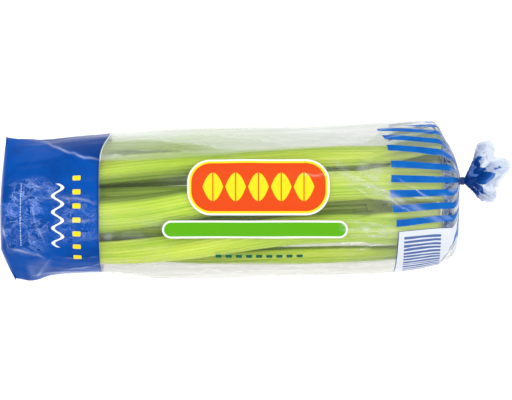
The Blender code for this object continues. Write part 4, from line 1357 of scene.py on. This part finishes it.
# The plaque with its leaves, its two outlines, the ribbon and the small marks
PLAQUE_RECT = (188.0, 160.0, 330.0, 216.0)
PLAQUE_CORNER = 17.0
LEAF_COUNT = 5
WHITE_RIM, YELLOW_RIM = 3.4, 1.9
RIBBON_RECT = (164.0, 222.0, 346.0, 236.0)
RIBBON_RIM = 1.7
DASH_RECT = (213.0, 252.0, 305.0, 259.0)
DASH_COUNT = 9
BAR_COLUMN_RECT = (72.0, 172.0, 82.0, 262.0)
BAR_COLUMN_COUNT = 7
WAVE_RECT = (49.0, 186.0, 67.0, 247.0)
SMALL_COLUMN_RECT = (15.0, 184.0, 27.0, 246.0)


def lay_band(printed, blue):
    """The band at the sealed end, with a pale rim and a darker line along its edge."""
    tree, along, wrap, inks = printed.tree, printed.along, printed.wrap, printed.inks
    edge = printed.on_film(*BAND_EDGE_PIXEL)[0]
    slant_a, slant_b = printed.on_film(*BAND_SLANT_FROM), printed.on_film(*BAND_SLANT_TO)
    slanted = tree.step(wrap, slant_b[1], slant_a[1], slant_b[0] - edge, 0.0)
    beyond = tree.less(tree.less(along, edge), slanted)
    rim = within(tree, tree.size(tree.less(beyond, 0.8)), 0.3)
    fading = tree.step(wrap, slant_a[1] - 2.0, slant_a[1] + 5.0, 0.9, 0.12)
    printed.lay(tree.times(rim, fading), inks.white)
    printed.lay(within(tree, beyond), blue)
    shade = within(tree, tree.size(tree.plus(beyond, 0.9)), 0.7, 0.4)
    printed.lay(tree.times(shade, 0.6), inks.navy_and_shade)


def stripe_places(printed):
    """How far a place of the print is from its stripe's middle, and how far before its start."""
    tree, along, wrap = printed.tree, printed.along, printed.wrap
    pitch = GIRTH / STRIPE_COUNT
    middle = printed.on_film(*STRIPE_PIXEL)[1]
    closing = tree.step(along, STRIPES_CLOSE_FROM, STRIPES_CLOSE_TO, 1.0, STRIPES_CLOSER)
    closed = tree.math("MULTIPLY_ADD", tree.less(wrap, middle), closing, middle)
    wider_from, wider_to = middle - WIDER_FROM * pitch, middle - WIDER_TO * pitch
    closed = tree.plus(closed, tree.step(wrap, wider_to, wider_from, STRIPES_WIDER, 0.0))
    across = tree.size(repeated(tree, closed, middle, pitch))
    starts = [tuple(reversed(printed.on_film(*pixel))) for pixel in STRIPE_STARTS]
    front = (starts[-1][0] + FRONT_START_ROUND, NECK[0] - FRONT_START_BACK)
    starts += [(starts[0][0] - UNDER_START_ROUND, starts[1][1] + UNDER_START_AHEAD), front]
    return across, tree.less(tree.curve(wrap, starts), along)


def lay_stripes(printed):
    """The blue stripes, which meet in a dark neck and end in torn edges and crumbs on the tail."""
    tree, along, wrap, inks = printed.tree, printed.along, printed.wrap, printed.inks
    neck, pitch = NECK[0], GIRTH / STRIPE_COUNT
    across, before = stripe_places(printed)
    flat = tree.node("ShaderNodeCombineXYZ", {0: along, 1: wrap}).outputs[0]
    end = tree.less(along, neck + STRIPES_PAST_NECK)
    end = tree.less(end, tree.times(tree.less(wrap_noise(printed, 0.12), 0.5), STRIPES_UNEVEN))
    end = tree.less(end, tree.times(tree.less(tree.noise(flat, 0.12, 3.0), 0.5), STRIPES_TORN))
    darker = tree.step(along, neck - 7.0, neck + 3.0)
    darker = tree.times(darker, tree.step(along, neck + 14.0, neck + 30.0, 1.0, 0.3))
    half_width = tree.math("MULTIPLY_ADD", darker, pitch * 0.26, pitch * 0.25)
    stripe = within(tree, tree.larger(tree.larger(tree.less(across, half_width), before), end))
    uneven = tree.step(tree.noise(flat, 0.09, 3.0, 0.6), 0.4, 0.65, 0.0, 0.55)
    blue = tree.mix(uneven, inks.stripe, inks.blue)
    # Painted light on the lighter facets of the crumpled stripes beyond the neck
    tone, _ = crumpled_cells(tree, flat, 0.2, (0.16, 0.06, 1.0))
    facets = tree.step(along, neck + 4.0, neck + 9.0)
    facets = tree.times(facets, tree.step(tone, 0.66, 0.92, 0.0, 0.5))
    printed.lay(stripe, tree.mix(facets, tree.mix(darker, blue, inks.navy_and_shade), inks.violet_painted_light))
    corner_left, corner_top = printed.on_film(*CORNER_TOP_LEFT)
    corner_low = printed.on_film(*CORNER_LOW)[1]
    corner = tree.larger(tree.less(corner_left, along), end)
    corner = tree.larger(corner, tree.less(corner_top, wrap))
    corner = tree.larger(corner, tree.less(wrap, corner_low))
    printed.lay(within(tree, corner), blue)
    crumbs = tree.step(tree.noise(flat, 0.5, 3.0, 0.6), 0.54, 0.62)
    crumbs = tree.times(crumbs, tree.step(tree.noise(flat, 0.1, 1.0), 0.45, 0.6))
    scattered = tree.times(tree.step(along, neck + 16.0, neck + 22.0), 0.75)
    scattered = tree.times(scattered, tree.step(along, neck + 28.0, neck + 36.0, 1.0, 0.0))
    printed.lay(tree.times(crumbs, scattered), blue)


def wrap_noise(printed, scale):
    """Noise that changes round the bag alone."""
    line = printed.tree.node("ShaderNodeCombineXYZ", {0: printed.wrap}).outputs[0]
    return printed.tree.noise(line, scale, 2.0)


def lay_panel(printed):
    """The leaning white panel with its dark edge and its plain bars."""
    tree, along, wrap, inks = printed.tree, printed.along, printed.wrap, printed.inks
    centre, half = printed.spot(PANEL_RECT)
    down = tree.less(wrap, centre[1])
    left = tree.less(centre[0] - half[0], tree.times(down, PANEL_LEAN_LEFT))
    left = tree.less(left, along)
    right = tree.less(tree.plus(along, tree.times(down, PANEL_LEAN_RIGHT)), centre[0] + half[0])
    rising = tree.math("MULTIPLY_ADD", tree.less(along, centre[0]), PANEL_RISE, wrap)
    top = tree.less(tree.size(tree.less(rising, centre[1])), half[1])
    panel = tree.larger(tree.larger(left, right), top)
    printed.lay(within(tree, panel, 0.5), inks.navy_and_shade)
    printed.lay(within(tree, tree.larger(panel, tree.plus(left, 0.3))), inks.panel)
    centre, half = printed.spot(BARS_RECT)
    bars = tree.size(repeated(tree, rising, centre[1], half[1] * 2 / BAR_COUNT))
    bars = tree.less(bars, tree.times(wrap_noise(printed, 0.45), half[1] * 1.25 / BAR_COUNT))
    inside = rounded_box(tree, along, rising, centre, half, 0.2)
    printed.lay(within(tree, tree.larger(bars, inside), 0.0, 0.12), inks.slate)


def lay_plaque(printed):
    """The ribbon, and above it the outlined plaque with its row of plain leaves."""
    tree, along, wrap, inks = printed.tree, printed.along, printed.wrap, printed.inks
    centre, half = printed.spot(RIBBON_RECT)
    ribbon = printed.box(centre, half, min(half) * 0.999)
    printed.lay(within(tree, ribbon, RIBBON_RIM), inks.white)
    printed.lay(within(tree, ribbon), inks.green)

    centre, half = printed.spot(PLAQUE_RECT)
    plaque = printed.box(centre, (half[0] - WHITE_RIM, half[1] - WHITE_RIM), PLAQUE_CORNER)
    printed.lay(within(tree, plaque, WHITE_RIM), inks.white)
    printed.lay(within(tree, plaque, YELLOW_RIM), inks.yellow)
    printed.lay(within(tree, plaque), inks.orange)
    leaf_pitch, leaf_half, leaf_rise = half[0] * 0.32, half[0] * 0.145, half[1] * 0.5
    cell = repeated(tree, along, centre[0], leaf_pitch)
    bulge = tree.less(1.0, tree.math("POWER", tree.math("DIVIDE", cell, leaf_half), 2.0))
    leaf = tree.less(tree.size(tree.less(wrap, centre[1])), tree.times(bulge, leaf_rise))
    leaf = tree.larger(leaf, tree.less(0.5, tree.size(cell)))
    row = printed.box(centre, (leaf_pitch * LEAF_COUNT / 2, half[1]), 0.5)
    printed.lay(within(tree, tree.larger(leaf, row)), inks.yellow)


def lay_small_marks(printed):
    """The dashes below the ribbon, and the bars, the wave and the small marks in the band."""
    tree, along, wrap, inks = printed.tree, printed.along, printed.wrap, printed.inks
    centre, half = printed.spot(DASH_RECT)
    dash = repeated(tree, along, centre[0], half[0] * 2 / DASH_COUNT)
    dash_half = (half[0] / DASH_COUNT * 0.62, half[1] * 0.42)
    dash = rounded_box(tree, dash, wrap, (0.0, centre[1]), dash_half, 0.8)
    row = printed.box(centre, half, 0.5)
    printed.lay(within(tree, tree.larger(dash, row)), inks.dark_green)

    centre, half = printed.spot(BAR_COLUMN_RECT)
    bar = repeated(tree, wrap, centre[1], half[1] * 2 / BAR_COLUMN_COUNT)
    bar_half = (half[0] * 0.85, half[1] / BAR_COLUMN_COUNT * 0.36)
    bar = rounded_box(tree, along, bar, (centre[0], 0.0), bar_half, 0.9)
    column = printed.box(centre, half, 0.5)
    printed.lay(within(tree, tree.larger(bar, column)), inks.yellow)

    centre, half = printed.spot(WAVE_RECT)
    sway = tree.math("SINE", tree.times(tree.less(wrap, centre[1]), 0.42))
    sway = tree.times(sway, half[0] * 0.55)
    wave = tree.size(tree.less(tree.less(along, centre[0]), sway))
    column = printed.box(centre, half, 2.0)
    printed.lay(within(tree, tree.larger(wave, column), 1.5), inks.white)

    centre, half = printed.spot(SMALL_COLUMN_RECT)
    rows = tree.size(repeated(tree, along, centre[0], half[0] * 1.1))
    marks = tree.size(repeated(tree, wrap, centre[1], 2.6))
    marks = tree.larger(tree.less(rows, 0.4), tree.less(marks, 0.85))
    column = printed.box(centre, half, 0.3)
    printed.lay(within(tree, tree.larger(marks, column), 0.0, 0.1), inks.pale)


def tie_finish(colour):
    """Soft, half clear plastic thread, faintly grained."""
    tree = Tree("tie_plastic")
    grain = tree.noise(tree.place(), 1400.0, 2.0)
    tree.set(
        Base_Color=tree.ramp(grain, ((0.3, tuple(0.85 * c for c in colour)), (0.7, tuple(colour)))),
        Roughness=tree.step(grain, 0.3, 0.7, 0.2, 0.35),
        Subsurface_Weight=0.3,
        Subsurface_Scale=0.001,
        Normal=tree.bump(grain, 0.3, 0.0003),
    )
    return tree.material


def floor_finish(colour, glow):
    """A pale table that is lit a little from below, as for a product photograph."""
    tree = Tree("pale_floor")
    grain = tree.noise(tree.place(), 40.0, 2.0)
    tree.set(
        Base_Color=tree.mix(tree.step(grain, 0.3, 0.7, 0.0, 0.02), colour, (0.9, 0.9, 0.9)),
        Roughness=0.7,
        Specular_IOR_Level=0.2,
        Emission_Color=(1.0, 1.0, 1.0),
        Emission_Strength=glow,
    )
    return tree.material


def colour_property(label, note, default):
    return bpy.props.FloatVectorProperty(
        name=label, description=note, subtype="COLOR", size=3, min=0.0, max=2.0, default=default
    )


def count_property(label, note, default, low, high):
    return bpy.props.IntProperty(name=label, description=note, default=default, min=low, max=high)


def amount_property(label, note, default, low=0.0, high=1000.0, **kind):
    return bpy.props.FloatProperty(
        name=label, description=note, default=default, min=low, max=high, **kind
    )


def share_property(label, note, default):
    return amount_property(label, note, default, high=1.0, subtype="FACTOR")


class CeleryShape(bpy.types.PropertyGroup):
    """Sizes of the stalks and of the film's mesh."""

    outer_ribs: count_property("Outer ribs", "Ribs on an outer stalk", 13, 3, 40)
    inner_ribs: count_property("Inner ribs", "Ribs on an inner stalk", 8, 3, 40)
    rib_height: amount_property("Rib height", "Height of a rib, in millimetres", 0.7, 0.0, 2.0)
    station_step: amount_property("Station step", "Space between sections, in millimetres", 4.0, 1.0)
    around: count_property("Film points around", "Points round the film bag", 300, 60, 800)
    film_step: amount_property("Film step", "Space between film rings, in millimetres", 1.15, 0.5)
    wrinkle: amount_property("Wrinkles", "Strength of the film's wrinkles", 1.0, 0.0, 3.0)


class CeleryColours(bpy.types.PropertyGroup):
    """Colours of the celery."""

    root: colour_property("Root end", "Pale flesh near the root", (0.68, 0.8, 0.15))
    flesh: colour_property("Flesh", "Main green of a stalk", (0.57, 0.74, 0.05))
    top: colour_property("Top", "Green near the cut tops", (0.56, 0.71, 0.09))
    blush: colour_property("Blush", "Yellower patches", (0.76, 0.88, 0.1))
    cut: colour_property("Cut face", "Freshly cut flesh", (0.66, 0.78, 0.36))


class InkColours(bpy.types.PropertyGroup):
    """Colours printed on the bag."""

    blue: colour_property("Band blue", "Blue of the band at the sealed end", (0.004, 0.078, 0.4))
    stripe: colour_property("Stripe blue", "Blue of the stripes", (0.006, 0.13, 0.48))
    # Also painted shade on the gusset and on the darker crumpled facets
    navy_and_shade: colour_property("Navy", "Blue where the film lies double", (0.003, 0.035, 0.19))
    white: colour_property("White", "White ink", (0.88, 0.9, 0.92))
    pale: colour_property("Pale blue", "Small marks in the band", (0.5, 0.6, 0.8))
    yellow: colour_property("Yellow", "Outlines and bars", (0.95, 0.72, 0.02))
    orange: colour_property("Orange red", "The plaque", (0.74, 0.073, 0.013))
    green: colour_property("Green", "The ribbon", (0.11, 0.43, 0.012))
    dark_green: colour_property("Dark green", "The dashes", (0.01, 0.12, 0.06))
    dense: colour_property("Dense blue", "Film that lies in folds", (0.035, 0.06, 0.13))
    # Painted light on the lighter facets of the folds
    fold_painted_light: colour_property("Fold, lighter", "Lighter facets of the folds", (0.1, 0.2, 0.42))
    panel: colour_property("Panel", "The panel's faintly blue white", (0.72, 0.76, 0.84))
    # Painted light on the lighter crumpled facets
    violet_painted_light: colour_property("Violet", "Lighter facets of crumpled ink", (0.14, 0.26, 0.68))
    # Painted highlights on the crumpled ridges
    lavender_highlight: colour_property("Lavender", "Bright ridges of crumpled ink", (0.36, 0.47, 0.9))
    slate: colour_property("Slate", "Bars of the panel", (0.1, 0.16, 0.38))


class FilmLook(bpy.types.PropertyGroup):
    """How clear and how milky the film is."""

    film_dark: colour_property("Film, darker", "Milky film, darker streaks", (0.57, 0.6, 0.6))
    film_light: colour_property("Film, lighter", "Milky film, lighter streaks", (0.71, 0.72, 0.74))
    film_green: colour_property("Film, green", "Milky film close beside the celery", (0.42, 0.52, 0.26))
    film_lilac: colour_property("Film, front", "Milky film at the front", (0.82, 0.77, 0.79))
    # Painted shade: the celery under the film at the corner, darkened
    film_olive_shade: colour_property("Film, corner", "Film over green by the shoulder", (0.14, 0.2, 0.1))
    # Also painted highlights along the folds' facets and just before the neck
    film_tail_and_sheen: colour_property("Film, tail", "Bluish film of the ruffled tail", (0.6, 0.68, 0.83))
    # Partly a painted highlight along creases, pleats and tail folds
    crease_white_and_highlight: colour_property("Crease white", "Film whitened along a crease", (0.93, 0.94, 0.95))
    clear: share_property("Clear film", "How much even the clear film covers", 0.04)
    clear_top: share_property("Clear film, top", "The same over the celery's top", 0.13)
    haze: share_property("Haze", "How milky film is that stands well off", 0.56)
    patches: share_property("Patches", "How milky the film is in patches on the celery", 0.42)
    ink_cover: share_property("Ink cover", "How much the ink covers", 0.995)
    tie: colour_property("Tie", "Plastic of the neck's tie", (0.03, 0.07, 0.24))


class StageLook(bpy.types.PropertyGroup):
    """The floor, the lights and the camera."""

    floor: colour_property("Floor", "Colour of the floor", (0.93, 0.93, 0.93))
    ambient: amount_property("Ambient", "Strength of the light from all round", 0.32)
    glow: amount_property("Glow", "Strength of the table's own light", 0.5)
    power: amount_property("Power", "Power of the brightest soft light", 36.0, unit="POWER")
    glint: amount_property("Glint", "Power of the brightest strip light", 3.0, unit="POWER")
    lens: amount_property("Lens", "Focal length of the camera", LENS, 20.0, unit="CAMERA")


class CELERY_OT_outer_stalks(bpy.types.Operator):
    """Make the outer stalks with their ribs and forked tops"""

    bl_idname = "celery.outer_stalks"
    bl_label = "Outer Stalks"
    bl_options = {"REGISTER", "UNDO"}

    def execute(self, context):
        scene = context.scene
        finish = celery_finish("celery_outer", scene.celery_colours, skin=True)
        for number in range(len(OUTER_ANGLES)):
            made = outer_stalk(number, scene.celery_shape)
            made.data.materials.clear()
            made.data.materials.append(finish)
            finish_piece(made, f"outer_stalk_{number + 1}", slot="outer_stalk")
        return {"FINISHED"}


class CELERY_OT_inner_stalks(bpy.types.Operator):
    """Make the inner stalks, and give the butt and the heart stalks their finish"""

    bl_idname = "celery.inner_stalks"
    bl_label = "Inner Stalks"
    bl_options = {"REGISTER", "UNDO"}

    def execute(self, context):
        scene = context.scene
        finish = celery_finish("celery_inner", scene.celery_colours, paleness=0.2, shaded=True)
        for number in range(INNER_COUNT):
            made = inner_stalk(number, scene.celery_shape)
            made.data.materials.append(finish)
            finish_piece(made, f"inner_stalk_{number + 1}", slot="inner_stalk")
        heart = celery_finish("celery_heart", scene.celery_colours, paleness=0.5)
        for name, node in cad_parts.items():
            if name.startswith("heart_stalk"):
                node.material_slots[0].material = heart
        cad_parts["root_butt"].material_slots[0].material = butt_finish(scene.celery_colours)
        return {"FINISHED"}


class CELERY_OT_film_bag(bpy.types.Operator):
    """Make the printed film bag with its wrinkles, gathered neck and ruffled tail"""

    bl_idname = "celery.film_bag"
    bl_label = "Film Bag"
    bl_options = {"REGISTER", "UNDO"}

    def execute(self, context):
        scene = context.scene
        grid, along, fields = film_rings(scene.celery_shape)
        mesh = film_mesh(grid, along, fields)
        made = bpy.data.objects.new("film_bag_printed", mesh)
        scene.collection.objects.link(made)
        step = GIRTH / grid.shape[1]
        hidden = np.where(grid[:, :, 2] > PRINT_SEEN_ABOVE, 0.0, 1000.0)
        seen = seen_from_above(grid)

        def on_film(column, row):
            """The print's (along, wrap) place, in millimetres, that the photograph's pixel shows."""
            x, y = pixel_place(column, row)
            away = np.hypot(seen[:, :, 0] - x, seen[:, :, 1] - y) + hidden
            i, j = np.unravel_index(np.argmin(away), away.shape)
            half = grid.shape[1] // 2
            return float(along[i]), float(((j + half) % grid.shape[1] - half) * step)

        made.data.materials.append(film_finish(scene.celery_inks, scene.celery_film, on_film))
        finish_piece(made, "film_bag", slot="film")
        return {"FINISHED"}


def wound_tie():
    """A thread wound round the gathered neck, as one closed tube."""
    steps, sides = 40 * TIE_TURNS, 8
    rings = []
    for step in range(steps + 1):
        share = step / steps
        turn = 2 * math.pi * TIE_TURNS * share
        out = np.array([0.0, math.cos(turn), math.sin(turn)])
        reach = TIE_FROM + (TIE_TO - TIE_FROM) * share
        middle = np.array(NECK) + out * TIE_RADIUS + np.array([reach, 0.0, 0.0])
        around = 2 * math.pi * np.arange(sides) / sides
        ahead = np.array([1.0, 0.0, 0.0])
        rings.append([middle + TIE_THREAD * (math.cos(a) * out + math.sin(a) * ahead) for a in around])
    return piece_from("neck_tie_wound", *lofted(rings))


class CELERY_OT_neck_tie(bpy.types.Operator):
    """Wind the tie round the neck"""

    bl_idname = "celery.neck_tie"
    bl_label = "Neck Tie"
    bl_options = {"REGISTER", "UNDO"}

    def execute(self, context):
        made = wound_tie()
        made.data.materials.append(tie_finish(context.scene.celery_film.tie))
        finish_piece(made, "neck_tie", slot="tie")
        return {"FINISHED"}


# The lights: place and size in metres, and the share of the brightest one's power. The boxes light
# the bag, and the narrow strips also glint on it.
LIGHT_BOXES = (
    ("top_light", (0.0, 0.1, 3.0), (1.6, 1.6), 1.0),
    ("back_light", (-0.2, 1.5, 1.4), (1.6, 0.6), 0.25),
    ("front_light", (0.2, -1.5, 1.3), (1.6, 0.6), 0.2),
    ("right_light", (1.6, 0.3, 1.2), (0.6, 1.0), 0.14),
    ("left_light", (-1.6, 0.2, 1.3), (0.6, 1.0), 0.14),
)
LIGHT_STRIPS = (
    ("back_strip", (-0.1, 0.9, 1.5), (1.4, 0.05), 1.0),
    ("front_strip", (0.2, -1.0, 1.3), (1.4, 0.05), 0.8),
    ("right_strip", (1.1, 0.2, 1.3), (0.8, 0.05), 0.6),
)
LIGHTS_AIM = (0.0, 0.0, 0.04)
FLOOR_HALF = 4.0
FLOOR_CORNERS = ((-1, -1), (1, -1), (1, 1), (-1, 1))


def softbox(name, place, size, power, mirrored=False):
    """A rectangular light at place, aimed at the middle of the bag. Only a mirrored one glints."""
    light = bpy.data.lights.new(name, "AREA")
    light.shape = "RECTANGLE"
    light.size, light.size_y = size
    light.energy = power
    made = bpy.data.objects.new(name, light)
    made.visible_glossy = mirrored
    made.location = place
    aim = np.array(LIGHTS_AIM) - np.array(place)
    made.rotation_euler = (
        math.atan2(math.hypot(aim[0], aim[1]), -aim[2]),
        0.0,
        math.atan2(aim[0], -aim[1]) + math.pi if aim[0] or aim[1] else 0.0,
    )
    bpy.context.scene.collection.objects.link(made)
    return made


class CELERY_OT_stage(bpy.types.Operator):
    """Make the pale floor, the studio lights and the camera straight above"""

    bl_idname = "celery.stage"
    bl_label = "Stage"
    bl_options = {"REGISTER", "UNDO"}

    def execute(self, context):
        scene = context.scene
        look = scene.celery_stage
        mesh = bpy.data.meshes.new("floor")
        corners = [(FLOOR_HALF * x, FLOOR_HALF * y, 0.0) for x, y in FLOOR_CORNERS]
        mesh.from_pydata(corners, [], [(0, 1, 2, 3)])
        floor = bpy.data.objects.new("floor", mesh)
        scene.collection.objects.link(floor)
        floor.data.materials.append(floor_finish(look.floor, look.glow))
        world = bpy.data.worlds.new("studio")
        world.use_nodes = True
        world.node_tree.nodes["Background"].inputs[0].default_value = (1.0, 1.0, 1.0, 1.0)
        world.node_tree.nodes["Background"].inputs[1].default_value = look.ambient
        world.cycles_visibility.glossy = False
        scene.world = world
        for name, place, size, share in LIGHT_BOXES:
            softbox(name, place, size, look.power * share)
        for name, place, size, share in LIGHT_STRIPS:
            softbox(name, place, size, look.glint * share, mirrored=True)
        camera = bpy.data.objects.new("camera", bpy.data.cameras.new("camera"))
        camera.data.lens = look.lens
        camera.data.sensor_width = SENSOR
        camera.data.clip_end = 50.0
        x, y = pixel_place(*PICTURE_MIDDLE)
        height = FOCUS_HEIGHT + PICTURE_WIDTH * PIXEL * look.lens / SENSOR
        camera.location = (ORIGIN[0] + x * MM, ORIGIN[1] + y * MM, height * MM)
        scene.collection.objects.link(camera)
        scene.camera = camera
        scene.view_settings.view_transform = "Standard"
        return {"FINISHED"}


class CELERY_PT_panel(bpy.types.Panel):
    """Lists the pieces of the bagged celery"""

    bl_label = "Bagged Celery"
    bl_idname = "CELERY_PT_panel"
    bl_space_type = "VIEW_3D"
    bl_region_type = "UI"
    bl_category = "Celery"

    def draw(self, context):
        for operator in OPERATORS:
            self.layout.operator(operator.bl_idname)
        for group in GROUPS:
            box = self.layout.box()
            settings = getattr(context.scene, group)
            for key in settings.__annotations__:
                box.prop(settings, key)


GROUPS = {
    "celery_shape": CeleryShape,
    "celery_colours": CeleryColours,
    "celery_inks": InkColours,
    "celery_film": FilmLook,
    "celery_stage": StageLook,
}
OPERATORS = (
    CELERY_OT_stage,
    CELERY_OT_outer_stalks,
    CELERY_OT_inner_stalks,
    CELERY_OT_film_bag,
    CELERY_OT_neck_tie,
)


def register():
    for made in (*GROUPS.values(), *OPERATORS, CELERY_PT_panel):
        bpy.utils.register_class(made)
    for name, group in GROUPS.items():
        setattr(bpy.types.Scene, name, bpy.props.PointerProperty(type=group))


def unregister():
    for name in GROUPS:
        delattr(bpy.types.Scene, name)
    for made in reversed((*GROUPS.values(), *OPERATORS, CELERY_PT_panel)):
        bpy.utils.unregister_class(made)


def main():
    """Registers the add-on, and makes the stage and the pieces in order."""
    register()
    bpy.ops.celery.stage()
    bpy.ops.celery.outer_stalks()
    bpy.ops.celery.inner_stalks()
    bpy.ops.celery.film_bag()
    bpy.ops.celery.neck_tie()


if __name__ == "__main__":
    main()
